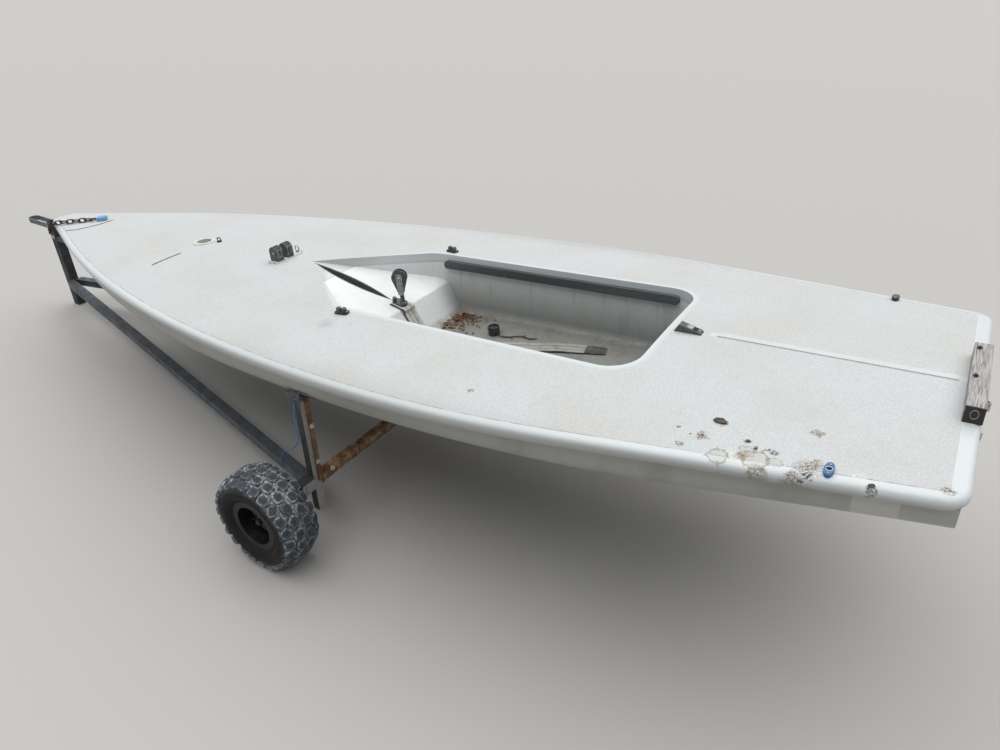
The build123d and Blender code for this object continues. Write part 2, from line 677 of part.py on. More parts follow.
def make_rim():
    """Barrel, flanges, dished web and hub in one, axis along Y."""
    wall = RIM_WALL
    flange = BEAD_HALF + wall
    web = BARREL_RADIUS - wall
    bore = SHAFT_RADIUS + SHAFT_FIT
    outline = [
        (flange, RIM_RADIUS), (BEAD_HALF, RIM_RADIUS), (BEAD_HALF, BARREL_RADIUS), (-BEAD_HALF, BARREL_RADIUS),
        (-BEAD_HALF, RIM_RADIUS), (-flange, RIM_RADIUS), (-flange, BARREL_RADIUS - wall),
        (WEB_SET - 5, web), (WEB_SET - WEB_DISH - 3, 50), (WEB_SET - WEB_DISH - 3, HUB_RADIUS),
        (-HUB_HALF, HUB_RADIUS), (-HUB_HALF, bore), (HUB_HALF - HUB_RECESS, bore),
        (HUB_HALF - HUB_RECESS, HUB_RADIUS), (WEB_SET - WEB_DISH + 3, HUB_RADIUS), (WEB_SET - WEB_DISH + 3, 53),
        (WEB_SET, web), (flange, web),
    ]
    return revolve(Plane.YZ * make_face(Polyline(*outline, close=True)), Axis.Y)


def save(name, *shapes):
    """Write one node; like pieces may share it."""
    solids = []
    for shape in shapes:
        solids.extend(Pos(-MIDDLE_X, 0, 0) * solid for solid in shape.solids())
    whole = Compound(children=solids) if len(solids) > 1 else solids[0]
    export_step(whole, f"parts/{name}.step")
    box = whole.bounding_box()
    print(f"{name:26s} {len(solids):3d} {whole.volume / 1000:10.1f} cm3", [round(v) for v in (*box.min, *box.max)])


def port_and_starboard(shape):
    return shape, mirror(shape, about=Plane.XZ)


def lowest(shape, x, y, size):
    """The lowest height of a shape over a small square."""
    column = Pos(x, y, 500) * Box(size, size, 1000)
    return (shape & column).bounding_box().min.Z


if __name__ == "__main__":
    os.makedirs("parts", exist_ok=True)

    hull, deck, tub, case = make_shell()
    save("hull", aboard(hull))
    save("deck", aboard(deck))
    save("cockpit_tub", aboard(tub))
    save("daggerboard_case", aboard(case))

    # Fittings on the deck
    save("mast_step", aboard(make_mast_step()))
    eye = upright_disc(EYE_RING, 3) + Pos(0, 0, EYE_RING) * Rot(90, 0, 0) * ring_shape(EYE_RING - 3, EYE_WIRE)
    save("mast_eye", aboard(on_deck(MAST_EYE_X, -28, 30) * eye))
    plate_long, plate_wide, plate_thick = BLOCK_PLATE
    plate = fillet(upright_box(*BLOCK_PLATE).edges().filter_by(Axis.Z), 8)
    seat = on_deck(BLOCK_X, BLOCK_SHIFT)
    save("block_plate", aboard(seat * plate))
    block = make_turning_block()
    save("turning_blocks", *[aboard(seat * Pos(0, y - BLOCK_SHIFT, plate_thick) * block) for y in BLOCK_PLACES])
    loop = upright_disc(6, 5) + Pos(0, 0, EYE_RING + 4) * Rot(90, 0, 90) * ring_shape(EYE_RING, EYE_WIRE)
    save("block_eye", aboard(seat * Pos(-4, 12 - plate_wide / 2, plate_thick) * loop))
    cleat_y = COCKPIT_HALF_FRONT + CLEAT_CLEAR
    cleat_places = [on_deck(CLEAT_X, side * cleat_y, side * 8) for side in (1, -1)]
    save("side_cleat_bases", *[aboard(place * make_cleat_base()) for place in cleat_places])
    save("side_cleat_cams", *[aboard(place * cam) for place in cleat_places for cam in make_cleat_cams()])
    wedge = [(0, 0), (1, 0), (0.81, 1), (0.6, 0.8), (0.04, 0.22)]
    wedge = make_face(Polyline(*[(x * WEDGE_LENGTH, z * WEDGE_HEIGHT) for x, z in wedge], close=True))
    wedge = extrude(Plane.XZ * wedge, WEDGE_WIDTH / 2, both=True)
    save("traveller_cleat", aboard(on_deck(WEDGE_X, 12) * wedge))
    bullseye = extrude(Ellipse(22, 11) - Circle(6), 10)
    fairlead_y = half_beam(FAIRLEAD_X) - FAIRLEAD_EDGE
    save("fairleads", *[aboard(on_deck(FAIRLEAD_X, side * fairlead_y, 90) * bullseye) for side in (1, -1)])
    timber = Box(TIMBER[0], TIMBER[1], TIMBER[2] + 8)
    timber = Pos(TIMBER[0] / 2, TIMBER_SHIFT, TIMBER[2] / 2 - 4) * fillet(timber.edges(), 3)
    save("transom_timber", aboard(timber - deck_cylinder(0)))

    edge_y = half_beam(CHAIN_EDGE_X)
    chain_yaw = degrees(atan2(edge_y, CHAIN_EDGE_X - CHAIN_START_X))
    chain_seat = on_deck(CHAIN_START_X, 0, chain_yaw)
    chain_start = aboard(chain_seat * Pos(0, 0, CHAIN_LIFT) * Sphere(1)).center()
    chain_edge = aboard(Pos(CHAIN_EDGE_X + 14, edge_y + 14, deck_z(edge_y) + CHAIN_LIFT + 5) * Sphere(1)).center()
    chain_end = Vector(POST_X - 12, POST / 2 + 13, HANDLE_Z - 20)
    save("chain", *chain_along(FilletPolyline(chain_start, chain_edge, chain_end, radius=CHAIN_BEND)))
    save("padlock", aboard(chain_seat * make_padlock()))
    save("padlock_shackle", aboard(chain_seat * make_shackle()))

    # Fittings in the cockpit
    save("grab_rails", aboard(make_rail(1)), aboard(make_rail(-1)))
    save("mainsheet_base", aboard(make_mainsheet_base()))
    block = Pos(STEM_X, 0, ramp_z(SHEET_X) + SHEET_RISE) * Rot(0, 0, SHEET_TURN) * make_mainsheet_block()
    save("mainsheet_block", aboard(block))
    save("hiking_strap", aboard(make_strap()))
    tail = Pos(-TAIL_LENGTH / 2, 0, 0) * Box(TAIL_LENGTH, STRAP_WIDTH - 6, STRAP_THICK)
    tail = Pos(STRAP_END_X, STRAP_END_Y, STRAP_GAP - COCKPIT_DEPTH) * Rot(0, 0, degrees(atan(STRAP_END_SLOPE))) * tail
    save("strap_tail", aboard(tail))
    cup = upright_disc(22, 34) - upright_disc(18, 34, 28)
    save("floor_cup", aboard(Pos(FLOOR_CUP_X, FLOOR_CUP_Y, -COCKPIT_DEPTH) * cup))

    # Fittings on the transom
    gudgeons = [Pos(TRANSOM_INSET, 0, share * HULL_DEPTH) * make_gudgeon(bore) for share, bore in GUDGEON_ROWS]
    save("gudgeons", *[aboard(gudgeon) for gudgeon in gudgeons])
    plug = Rot(0, -90, 0) * (upright_disc(16, 3) + upright_disc(9, 10))
    save("drain_plug", aboard(Pos(TRANSOM_INSET, PLUG_Y, PLUG_Z) * plug))

    # Trolley
    snug = aboard(hull_body(SEAT_GAP))
    under_sling = aboard(hull_body(SLING_THICK + SEAT_GAP))
    inner_post = POST - 2 * TUBE_WALL
    post = upright_box(POST, POST, POST_TOP) - upright_box(inner_post, inner_post, POST_TOP)
    save("post", Pos(POST_X, 0, 0) * post)
    handle = SlotOverall(2 * HANDLE_REACH, POST + 2 * HANDLE_BAR)
    handle -= SlotOverall(2 * HANDLE_REACH - 2 * HANDLE_BAR, POST)
    keep = Pos(HANDLE_REACH, 0, HANDLE_TALL / 2) * Box(2 * HANDLE_REACH, 4 * POST, HANDLE_TALL)
    save("handle", Pos(POST_X - POST / 3, 0, HANDLE_Z) * (extrude(handle, HANDLE_TALL) & keep))
    chock_low = lowest(snug, CHOCK_X + CHOCK_LENGTH / 2, 0, 2) - CHOCK_THICK
    chock_low = min(chock_low, lowest(snug, CHOCK_X - CHOCK_LENGTH / 2, 0, 2) - CHOCK_THICK)
    arm_start = CHOCK_X - CHOCK_LENGTH / 2
    arm_length = POST_X - POST / 2 - arm_start
    arm = Pos(arm_start + arm_length / 2, 0, chock_low - ARM_TALL / 2) * Box(arm_length, ARM_WIDE, ARM_TALL)
    save("bow_arm", arm)
    chock = Pos(CHOCK_X, 0, chock_low + CHOCK_WIDE / 2) * Box(CHOCK_LENGTH, CHOCK_WIDE, CHOCK_WIDE) - snug
    save("bow_chock", chock.solids().sort_by(Axis.Z)[0])

    foot = (AXLE_X + UPRIGHT_LONG / 2, UPRIGHT_Y - 8, DRAWBAR_Z)
    tip = (POST_X - POST / 2, DRAWBAR_WIDTH / 2 + 2, DRAWBAR_Z)
    run = Vector(*tip) - Vector(*foot)
    ahead = Vector(*tip) + run.normalized() * 2 * DRAWBAR_WIDTH
    behind = Vector(*foot) - run.normalized() * 2 * DRAWBAR_WIDTH
    drawbar = bar_between(tuple(behind), tuple(ahead), DRAWBAR_WIDTH, DRAWBAR_HEIGHT, DRAWBAR_WALL)
    window = Box(tip[0] - foot[0], BEAM, 4 * DRAWBAR_HEIGHT, align=(Align.MIN, Align.MIN, Align.CENTER))
    drawbar_port, drawbar_starboard = port_and_starboard(drawbar & (Pos(foot[0], 0.5, DRAWBAR_Z) * window))
    save("drawbar_port", drawbar_port)
    save("drawbar_starboard", drawbar_starboard)

    pad_low = lowest(under_sling, AXLE_X, UPRIGHT_Y, 4) - PAD_THICK
    upright_tall = pad_low - UPRIGHT_BOTTOM
    upright = upright_box(UPRIGHT_LONG, UPRIGHT_WIDE, upright_tall, UPRIGHT_BOTTOM)
    upright -= upright_box(UPRIGHT_LONG - 2 * UPRIGHT_WALL, UPRIGHT_WIDE - 2 * UPRIGHT_WALL, upright_tall,
                           UPRIGHT_BOTTOM)
    save("uprights", *port_and_starboard(Pos(AXLE_X, UPRIGHT_Y, 0) * upright))
    pad_tall = 5 * PAD_THICK
    pad = Pos(AXLE_X, UPRIGHT_Y, pad_low + pad_tall / 2) * Box(PAD_LENGTH, PAD_WIDTH, pad_tall) - under_sling
    save("support_pads", *port_and_starboard(pad.solids().sort_by(Axis.Z)[0]))
    sling_box = Pos(SLING_X, 0, TRANSOM_HEIGHT / 2) * Box(SLING_WIDTH, 2 * (UPRIGHT_Y + SLING_REACH), TRANSOM_HEIGHT)
    save("sling", (aboard(hull_body(SLING_THICK)) & sling_box) - aboard(hull_body(0)))
    brace = upright_box(BRACE_THICK, BRACE_WIDE, pad_low - AXLE_Z, AXLE_Z)
    brace = Pos(AXLE_X - (UPRIGHT_LONG + BRACE_THICK) / 2, UPRIGHT_Y - (UPRIGHT_WIDE - BRACE_WIDE) / 2, 0) * brace
    save("braces", *port_and_starboard(brace))
    beam_length = 2 * UPRIGHT_Y - UPRIGHT_WIDE
    beam = Cylinder(BEAM_RADIUS, beam_length) - Cylinder(BEAM_RADIUS - TUBE_WALL, beam_length)
    save("axle_beam", Pos(AXLE_X, 0, AXLE_Z) * Rot(90, 0, 0) * beam)
    outer = UPRIGHT_Y + UPRIGHT_WIDE / 2
    collar_end = TRACK / 2 - HUB_HALF - 0.5
    shaft_end = TRACK / 2 + HUB_HALF
    bracket = Pos(AXLE_X, outer + BRACKET_WIDE / 2, AXLE_Z + 2) * Box(BRACKET_LONG, BRACKET_WIDE, BRACKET_TALL)
    collar = Cylinder(STUB_RADIUS, collar_end - outer, rotation=(90, 0, 0))
    collar = Pos(AXLE_X, (outer + collar_end) / 2, AXLE_Z) * collar
    shaft = Cylinder(SHAFT_RADIUS, shaft_end - outer, rotation=(90, 0, 0))
    shaft = Pos(AXLE_X, (outer + shaft_end) / 2, AXLE_Z) * shaft
    save("axle_brackets", *port_and_starboard(bracket - collar))
    save("stub_axles", *port_and_starboard(collar + shaft))
    washer = Cylinder(HUB_RADIUS - 4, 4, rotation=(90, 0, 0)) - Cylinder(SHAFT_RADIUS, 4, rotation=(90, 0, 0))
    washer_y = TRACK / 2 + HUB_HALF - HUB_RECESS + 2.5
    save("axle_washers", *port_and_starboard(Pos(AXLE_X, washer_y, AXLE_Z) * washer))

    # Thin twine left hanging from the port pad
    out = UPRIGHT_Y + PAD_WIDTH / 2 + TWINE_RADIUS + 0.3
    twine = FilletPolyline(
        (AXLE_X - 8, out, pad_low + PAD_THICK / 2), (AXLE_X + 12, out, pad_low - 60), (AXLE_X - 4, out, 370),
        (AXLE_X + 50, out, 306), (AXLE_X + 115, out, 275), (AXLE_X + 130, out, 205), radius=18)
    section = Plane(origin=twine @ 0, z_dir=twine % 0) * Circle(TWINE_RADIUS)
    save("tie_twine", sweep(section, path=twine))

    # Wheels
    tyre = make_tyre()
    rim = make_rim()
    for side, name in ((1, "port"), (-1, "starboard")):
        place = Pos(AXLE_X, side * TRACK / 2, AXLE_Z) * Rot(0, 0, 0 if side > 0 else 180)
        save(f"tyre_{name}", place * tyre)
        save(f"rim_{name}", place * rim)
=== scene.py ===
import json
import random
from math import asin, atan2, cos, radians, sin, sqrt, tau

import bmesh
import bpy
from mathutils import Matrix, Vector, noise
from mathutils.bvhtree import BVHTree

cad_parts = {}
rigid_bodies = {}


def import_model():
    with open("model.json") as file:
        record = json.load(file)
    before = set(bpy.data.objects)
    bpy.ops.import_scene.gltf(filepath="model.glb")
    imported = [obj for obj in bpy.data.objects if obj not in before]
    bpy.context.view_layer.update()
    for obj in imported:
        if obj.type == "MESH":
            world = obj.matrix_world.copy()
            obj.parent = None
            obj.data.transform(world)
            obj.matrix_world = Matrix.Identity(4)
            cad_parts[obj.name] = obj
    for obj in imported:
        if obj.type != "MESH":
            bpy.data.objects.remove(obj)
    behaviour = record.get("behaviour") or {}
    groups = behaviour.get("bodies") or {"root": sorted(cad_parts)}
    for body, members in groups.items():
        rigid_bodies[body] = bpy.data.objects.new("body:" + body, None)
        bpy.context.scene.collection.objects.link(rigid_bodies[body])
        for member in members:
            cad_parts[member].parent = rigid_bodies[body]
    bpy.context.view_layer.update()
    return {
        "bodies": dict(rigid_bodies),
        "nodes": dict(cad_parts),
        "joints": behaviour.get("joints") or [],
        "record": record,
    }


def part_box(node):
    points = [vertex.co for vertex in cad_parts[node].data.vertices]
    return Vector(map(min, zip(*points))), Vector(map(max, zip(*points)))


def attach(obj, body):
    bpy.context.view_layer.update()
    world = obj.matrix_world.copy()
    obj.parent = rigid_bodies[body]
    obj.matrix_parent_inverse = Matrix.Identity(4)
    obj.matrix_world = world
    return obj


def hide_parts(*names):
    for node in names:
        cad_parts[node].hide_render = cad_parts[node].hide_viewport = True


# Looks of a one-person sailing dinghy on its launching trolley.
# Metres. The boat's own frame has x from the transom and z from the deck's centre line.

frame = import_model()
nodes = frame["nodes"]
BOAT = "boat_and_trolley"

# The boat on its trolley
BOW_DOWN = radians(3.7)
TRANSOM_HEIGHT = 0.813
POST_X = 4.330
LENGTH = 4.230
BEAM = 1.370
TRANSOM_BEAM = 0.984
WIDEST_X = 0.355 * LENGTH
BOW_SLOPE = atan2(1.2475 * BEAM, LENGTH)
RUN_SLOPE = atan2(0.5056 * BEAM, LENGTH)
BOW_RADIUS = 0.08
CROWN_RADIUS = 5.870
RAMP_FOOT_X = 0.4405 * LENGTH
APEX_X = RAMP_FOOT_X + 0.475
RAMP_DROP = 0.120
COCKPIT_FRONT_X = RAMP_FOOT_X + 0.050
COCKPIT_AFT_X = COCKPIT_FRONT_X - 1.095
COCKPIT_HALF = 0.287
COCKPIT_HALF_AFT = 0.300
COCKPIT_CORNER = 0.100
COCKPIT_DEPTH = 0.233
WELL_WALL_X = RAMP_FOOT_X - 0.070
SHEET_X = RAMP_FOOT_X + 0.030
AXLE_FROM_TRANSOM = 0.4275 * LENGTH

# Smooth bands along the deck's edges, and the middle ridge aft
COAMING_BAND = 0.020
GUNWALE_BAND = 0.028
STERN_BAND = 0.038
RIDGE_HALF = 0.011
RIDGE_END_X = 0.69

post_low, post_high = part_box("post")
MIDDLE_X = POST_X - (post_low.x + post_high.x) / 2
BOAT_FRAME = Matrix.Translation((-MIDDLE_X, 0, TRANSOM_HEIGHT)) @ Matrix.Rotation(BOW_DOWN, 4, "Y")


# Places

def shift(x, y, z):
    return Matrix.Translation((x, y, z))


def turned(degrees, axis="Z"):
    return Matrix.Rotation(radians(degrees), 4, axis)


def aboard(x, y, z=0.0):
    """A place given in the boat's own frame."""
    return BOAT_FRAME @ shift(x, y, z)


def deck_z(y):
    return sqrt(CROWN_RADIUS**2 - y**2) - CROWN_RADIUS


def on_deck(x, y, turn=0.0):
    """A seat on the crowned deck, turned about the deck's normal by degrees."""
    return aboard(x, y, deck_z(y)) @ Matrix.Rotation(-asin(y / CROWN_RADIUS), 4, "X") @ turned(turn)


def ramp_z(x):
    return -RAMP_DROP * (APEX_X - x) / (APEX_X - RAMP_FOOT_X)


def on_ramp(x, y):
    """A seat on the sloping ramp."""
    slope = atan2(RAMP_DROP, APEX_X - RAMP_FOOT_X)
    return aboard(x, y, ramp_z(x)) @ Matrix.Rotation(-slope, 4, "Y")


def facing(place, direction):
    """A seat at a place, its z axis along the direction."""
    return Matrix.Translation(place) @ Vector(direction).to_track_quat("Z", "Y").to_matrix().to_4x4()


def surface_of(node):
    """The CAD node's surface, for finding where a piece touches it."""
    mesh = nodes[node].data
    return BVHTree.FromPolygons([v.co for v in mesh.vertices], [p.vertices for p in mesh.polygons])


def seat_on(node, start, direction):
    """A seat where a line from the start meets a CAD node, standing off its surface."""
    hit, normal, _, _ = surface_of(node).ray_cast(Vector(start), Vector(direction))
    if normal.dot(Vector(direction)) > 0:
        normal = -normal
    return facing(hit, normal)


# Materials

def srgb(red, green, blue):
    """A colour as it looks in daylight, 0 to 255, as the linear values that nodes take."""
    values = [c / 255 for c in (red, green, blue)]
    return [c / 12.92 if c <= 0.04045 else ((c + 0.055) / 1.055) ** 2.4 for c in values] + [1.0]


def step(operation):
    """Arithmetic that adds one math node."""
    return lambda value, other=0.0: value.finish.math(operation, value, other)


class Value:
    """A number that a material's nodes give; arithmetic on it adds the nodes it needs."""

    def __init__(self, finish, socket):
        self.finish = finish
        self.socket = socket

    def __rsub__(self, other):
        return self.finish.math("SUBTRACT", other, self)

    __add__ = step("ADD")
    __sub__ = step("SUBTRACT")
    __mul__ = step("MULTIPLY")
    __pow__ = step("POWER")
    __gt__ = step("GREATER_THAN")
    __lt__ = step("LESS_THAN")
    __abs__ = step("ABSOLUTE")
    larger = step("MAXIMUM")
    root = step("SQRT")
    sine = step("SINE")


class Finish:
    """A procedural material, built up from layers."""

    def __init__(self, name, colour, roughness=0.5, metallic=0.0, frame=None):
        self.material = bpy.data.materials.new(name)
        self.material.use_nodes = True
        self.tree = self.material.node_tree
        self.shader = self.tree.nodes["Principled BSDF"]
        self.shader.inputs["Metallic"].default_value = metallic
        self.place = self.node("ShaderNodeTexCoord", {}, "Object")
        if frame is not None:
            inputs = {"Vector": self.place, "Location": frame.to_translation(), "Rotation": frame.to_euler()}
            self.place = self.node("ShaderNodeMapping", inputs, vector_type="TEXTURE")
        self.colour = srgb(*colour)
        self.roughness = roughness
        self.bump = None

    def put(self, socket, value):
        if isinstance(value, Value):
            self.tree.links.new(value.socket, socket)
        else:
            socket.default_value = value

    def node(self, kind, inputs, output=0, **settings):
        """Adds a node, with values or other nodes' outputs on its inputs."""
        node = self.tree.nodes.new(kind)
        for name, setting in settings.items():
            setattr(node, name, setting)
        for key, value in inputs.items():
            self.put(node.inputs[key], value)
        return Value(self, node.outputs[output])

    def math(self, operation, a, b=0.0, clamp=False):
        return self.node("ShaderNodeMath", {0: a, 1: b}, operation=operation, use_clamp=clamp)

    def axes(self, place=None):
        parts = self.node("ShaderNodeSeparateXYZ", {0: place or self.place})
        return [Value(self, socket) for socket in parts.socket.node.outputs]

    def layer(self, name):
        """A number that the mesh carries at its points."""
        return self.node("ShaderNodeAttribute", {}, "Fac", attribute_name=name)

    def noise(self, scale, detail=3.0, stretch=None, roughness=0.55, distortion=0.0):
        """Cloudy grain; three stretch factors make it run one way."""
        place = self.place
        if stretch:
            place = self.node("ShaderNodeVectorMath", {0: place, 1: stretch}, operation="MULTIPLY")
        inputs = {"Vector": place, "Scale": scale, "Detail": detail, "Roughness": roughness}
        return self.node("ShaderNodeTexNoise", {**inputs, "Distortion": distortion})

    def cells(self, scale, feature="F1"):
        inputs = {"Vector": self.place, "Scale": scale}
        return self.node("ShaderNodeTexVoronoi", inputs, "Distance", feature=feature)

    def between(self, value, low, high, at_low=0.0, at_high=1.0):
        """The value's place between two limits, smoothly, as a number between two others."""
        inputs = {"Value": value, "From Min": low, "From Max": high, "To Min": at_low, "To Max": at_high}
        return self.node("ShaderNodeMapRange", inputs, interpolation_type="SMOOTHSTEP")

    def fades(self, value, low, high, at_low=1.0):
        """Falls smoothly to nothing between two limits."""
        return self.between(value, low, high, at_low, 0.0)

    def line(self, value, middle, width):
        """A soft line where the value is at the middle."""
        return self.fades(abs(value - middle), 0.0, width)

    def blend(self, share, first, second):
        return self.node("ShaderNodeMix", {0: share, 6: first, 7: second}, 2, data_type="RGBA")

    def mixed(self, share, first, second):
        return self.node("ShaderNodeMix", {0: share, 2: first, 3: second})

    def stain(self, share, colour, roughness=None):
        """Another colour over part of the surface."""
        self.colour = self.blend(share, self.colour, srgb(*colour))
        if roughness is not None:
            self.roughness = self.mixed(share, self.roughness, roughness)

    def patches(self, value, low, high, strength, colour, roughness=None):
        """Another colour that comes in between two limits of the value."""
        self.stain(self.between(value, low, high, 0.0, strength), colour, roughness)

    def raised(self, height, distance):
        """Relief that stands proud by a distance where the height is 1."""
        inputs = {"Height": height, "Distance": distance, "Strength": 1.0}
        if self.bump is not None:
            inputs["Normal"] = self.bump
        self.bump = self.node("ShaderNodeBump", inputs)

    def done(self):
        self.put(self.shader.inputs["Base Color"], self.colour)
        self.put(self.shader.inputs["Roughness"], self.roughness)
        if self.bump is not None:
            self.put(self.shader.inputs["Normal"], self.bump)
        return self.material


def near_point(finish, x, y, radius, warp, softness):
    """A ragged spot on the deck, 1 at its middle."""
    across = finish.axes()
    dx, dy = across[0] - x, across[1] - y
    return finish.fades((dx * dx + dy * dy).root() + warp, radius * (1 - softness), radius)


def edge_inset(finish):
    """How far a deck point lies inside the deck's side edge, and inside the stern."""
    x, y, _ = finish.axes()
    y = abs(y)
    apex = LENGTH + BOW_RADIUS * (1 / sin(BOW_SLOPE) - 1)
    tan_bow, tan_run = sin(BOW_SLOPE) / cos(BOW_SLOPE), sin(RUN_SLOPE) / cos(RUN_SLOPE)
    fore = (tan_bow * (apex - WIDEST_X) - BEAM / 2) / (tan_bow * sin(BOW_SLOPE) - (1 - cos(BOW_SLOPE)))
    aft = BEAM / 2 - TRANSOM_BEAM / 2 - tan_run * WIDEST_X
    aft /= (1 - cos(RUN_SLOPE)) - tan_run * sin(RUN_SLOPE)
    from_widest = x - WIDEST_X
    radius = finish.mixed(from_widest > 0.0, aft, fore)
    down = y + (radius - BEAM / 2)
    arc = radius - (from_widest ** 2 + down ** 2).root()
    run_line = x * sin(RUN_SLOPE) + TRANSOM_BEAM / 2 * cos(RUN_SLOPE) - y * cos(RUN_SLOPE)
    side = finish.mixed(x < WIDEST_X - aft * sin(RUN_SLOPE), arc, run_line)
    bow_line = (apex - x) * sin(BOW_SLOPE) - y * cos(BOW_SLOPE)
    return finish.mixed(x > WIDEST_X + fore * sin(BOW_SLOPE), side, bow_line), x


def cockpit_outset(finish):
    """How far a deck point lies outside the cockpit's edge."""
    x, y, _ = finish.axes()
    y = abs(y)
    vee = atan2(COCKPIT_HALF, APEX_X - COCKPIT_FRONT_X)
    spread = (COCKPIT_HALF - COCKPIT_HALF_AFT) / (COCKPIT_FRONT_X - COCKPIT_AFT_X)
    half = x * spread + (COCKPIT_HALF_AFT - spread * COCKPIT_AFT_X)
    aft = (COCKPIT_AFT_X + COCKPIT_CORNER) - x
    side = y - half + COCKPIT_CORNER
    far_aft, far_side = aft.larger(0.0), side.larger(0.0)
    within = finish.math("MINIMUM", aft.larger(side), 0.0)
    corner = (far_aft * far_aft + far_side * far_side).root() + within - COCKPIT_CORNER
    ahead = (x - APEX_X) * sin(vee) + y * cos(vee)
    ahead = finish.math("SMOOTH_MAX", ahead, x - (APEX_X + 0.004))
    return corner.larger(ahead)


# Ragged stains on the deck: x, y, radius
BROWN_STAINS = [
    (0.550, 0.491, 0.020), (0.585, 0.540, 0.010), (0.314, 0.378, 0.014), (0.488, 0.599, 0.016),
    (0.399, 0.567, 0.032), (0.425, 0.580, 0.020), (0.307, 0.513, 0.034), (0.330, 0.548, 0.030),
    (0.293, 0.493, 0.020), (0.043, 0.467, 0.018), (1.182, 0.545, 0.012), (0.445, 0.520, 0.020),
]
RING_STAINS = [(0.493, 0.544, 0.026), (0.415, 0.527, 0.034), (0.440, 0.505, 0.022), (0.376, 0.520, 0.018)]
WHITE_STAINS = [(0.468, 0.529, 0.024), (0.207, 0.494, 0.022), (0.436, 0.545, 0.018), (0.190, 0.512, 0.014)]
DARK_STAINS = [
    (0.534, 0.423, 0.011), (0.517, 0.424, 0.013), (0.385, 0.486, 0.010), (0.397, 0.480, 0.008),
    (0.448, 0.469, 0.010), (0.425, 0.489, 0.007), (0.313, 0.559, 0.012), (0.340, 0.560, 0.010),
    (0.179, 0.513, 0.012), (0.172, 0.520, 0.008), (0.560, 0.497, 0.007), (0.612, 0.480, 0.006),
    (0.300, 0.530, 0.010),
]
SMUDGE = (1.863, 0.407, 0.045)


def deck_finish():
    """Off-white non-slip deck with smooth borders, a fine seam, grime and stains, and painted shade where it
    dips low.
    """
    finish = Finish("deck_finish", (210, 214, 215), 0.60, frame=BOAT_FRAME)
    inset, stern = edge_inset(finish)
    outset = cockpit_outset(finish)
    x, y, z = finish.axes()
    ridge = finish.fades(abs(y), RIDGE_HALF, RIDGE_HALF + 0.003) * (x < RIDGE_END_X)
    gunwale = finish.fades(inset, GUNWALE_BAND - 0.001, GUNWALE_BAND + 0.001)
    gunwale = gunwale.larger(finish.fades(stern, STERN_BAND - 0.001, STERN_BAND + 0.001))
    coaming = finish.fades(outset, COAMING_BAND - 0.014, COAMING_BAND + 0.004)
    smooth = gunwale.larger(coaming)
    grain, leather = finish.noise(430, 2.0), finish.cells(190)
    finish.patches(finish.noise(2.6, 5.0), 0.40, 0.68, 0.6, (204, 203, 197))
    finish.patches(finish.noise(30, 5.0, roughness=0.75), 0.50, 0.74, 0.30, (188, 188, 183))
    finish.patches(leather, 0.25, 0.60, 0.26, (168, 168, 166))
    finish.patches(grain, 0.50, 0.74, 0.30, (160, 161, 160))
    finish.stain(ridge * 0.55, (216, 221, 223), 0.4)
    finish.stain(smooth, (212, 218, 220), 0.36)
    broken = finish.between(finish.noise(26, 4.0), 0.40, 0.60, 0.25, 1.0)
    seam = finish.line(inset, GUNWALE_BAND, 0.0019) * (stern > STERN_BAND)
    finish.stain(seam * (broken * 0.85), (92, 89, 84))
    margin = finish.line(stern, STERN_BAND, 0.0018) * (inset > GUNWALE_BAND)
    finish.stain(margin * 0.8, (232, 235, 235), 0.4)
    warp = (finish.noise(46, 4.0, roughness=0.7) - 0.5) * 0.050
    crumbs = finish.between(finish.noise(170, 5.0, roughness=0.8), 0.42, 0.56)
    ringed = finish.line(finish.noise(46, 4.0, roughness=0.7), 0.53, 0.022)
    for spots, colour, strength, pattern in (
        (WHITE_STAINS, (232, 230, 222), 0.85, crumbs),
        (BROWN_STAINS, (112, 90, 62), 0.9, crumbs.larger(ringed)),
        (DARK_STAINS, (54, 46, 38), 0.95, crumbs),
    ):
        whole = near_point(finish, *spots[0], warp, 0.6)
        for spot in spots[1:]:
            whole = whole.larger(near_point(finish, *spot, warp, 0.6))
        finish.stain(whole * pattern * strength, colour, 0.8)
    for ring_x, ring_y, radius in RING_STAINS:
        inner = near_point(finish, ring_x, ring_y, radius * 0.86, warp, 0.16)
        outer = near_point(finish, ring_x, ring_y, radius, warp, 0.14)
        finish.stain(inner * 0.35, (186, 182, 166))
        rim = finish.math("SUBTRACT", outer, inner, clamp=True)
        finish.stain(rim * 0.75, (118, 104, 78))
    finish.stain(near_point(finish, *SMUDGE, warp, 0.9) * 0.28, (120, 120, 118))
    specks = finish.fades(finish.cells(24), 0.0, 0.050) * finish.between(finish.noise(6, 2.0), 0.55, 0.64)
    finish.stain(specks * 0.7, (88, 80, 70))
    # Painted shade: grey where the deck dips low, down its rolled edges and its walls into the cockpit
    finish.stain(finish.fades(z, -0.050, -0.026, 0.6), (150, 150, 145), 0.6)
    finish.raised((grain + leather) * (1.0 - smooth), 0.0006)
    finish.raised(finish.noise(5, 2.0), 0.0015)
    return finish.done()


def gelcoat_finish(name, colour, grime):
    """Smooth gelcoat, a little chalky, with faint runs and dust; more layers can follow."""
    finish = Finish(name, colour, 0.36, frame=BOAT_FRAME)
    finish.patches(finish.noise(9, 4.0, (1.0, 1.0, 0.15)), 0.45, 0.75, 0.5, grime)
    finish.patches(finish.noise(120, 3.0), 0.55, 0.72, 0.35, (176, 176, 172), 0.5)
    finish.patches(finish.noise(30, 6.0, (0.25, 1.0, 1.0), 0.75), 0.66, 0.74, 0.4, (140, 140, 136), 0.6)
    finish.raised(finish.noise(4, 2.0), 0.002)
    finish.raised(finish.noise(300, 2.0), 0.0001)
    return finish


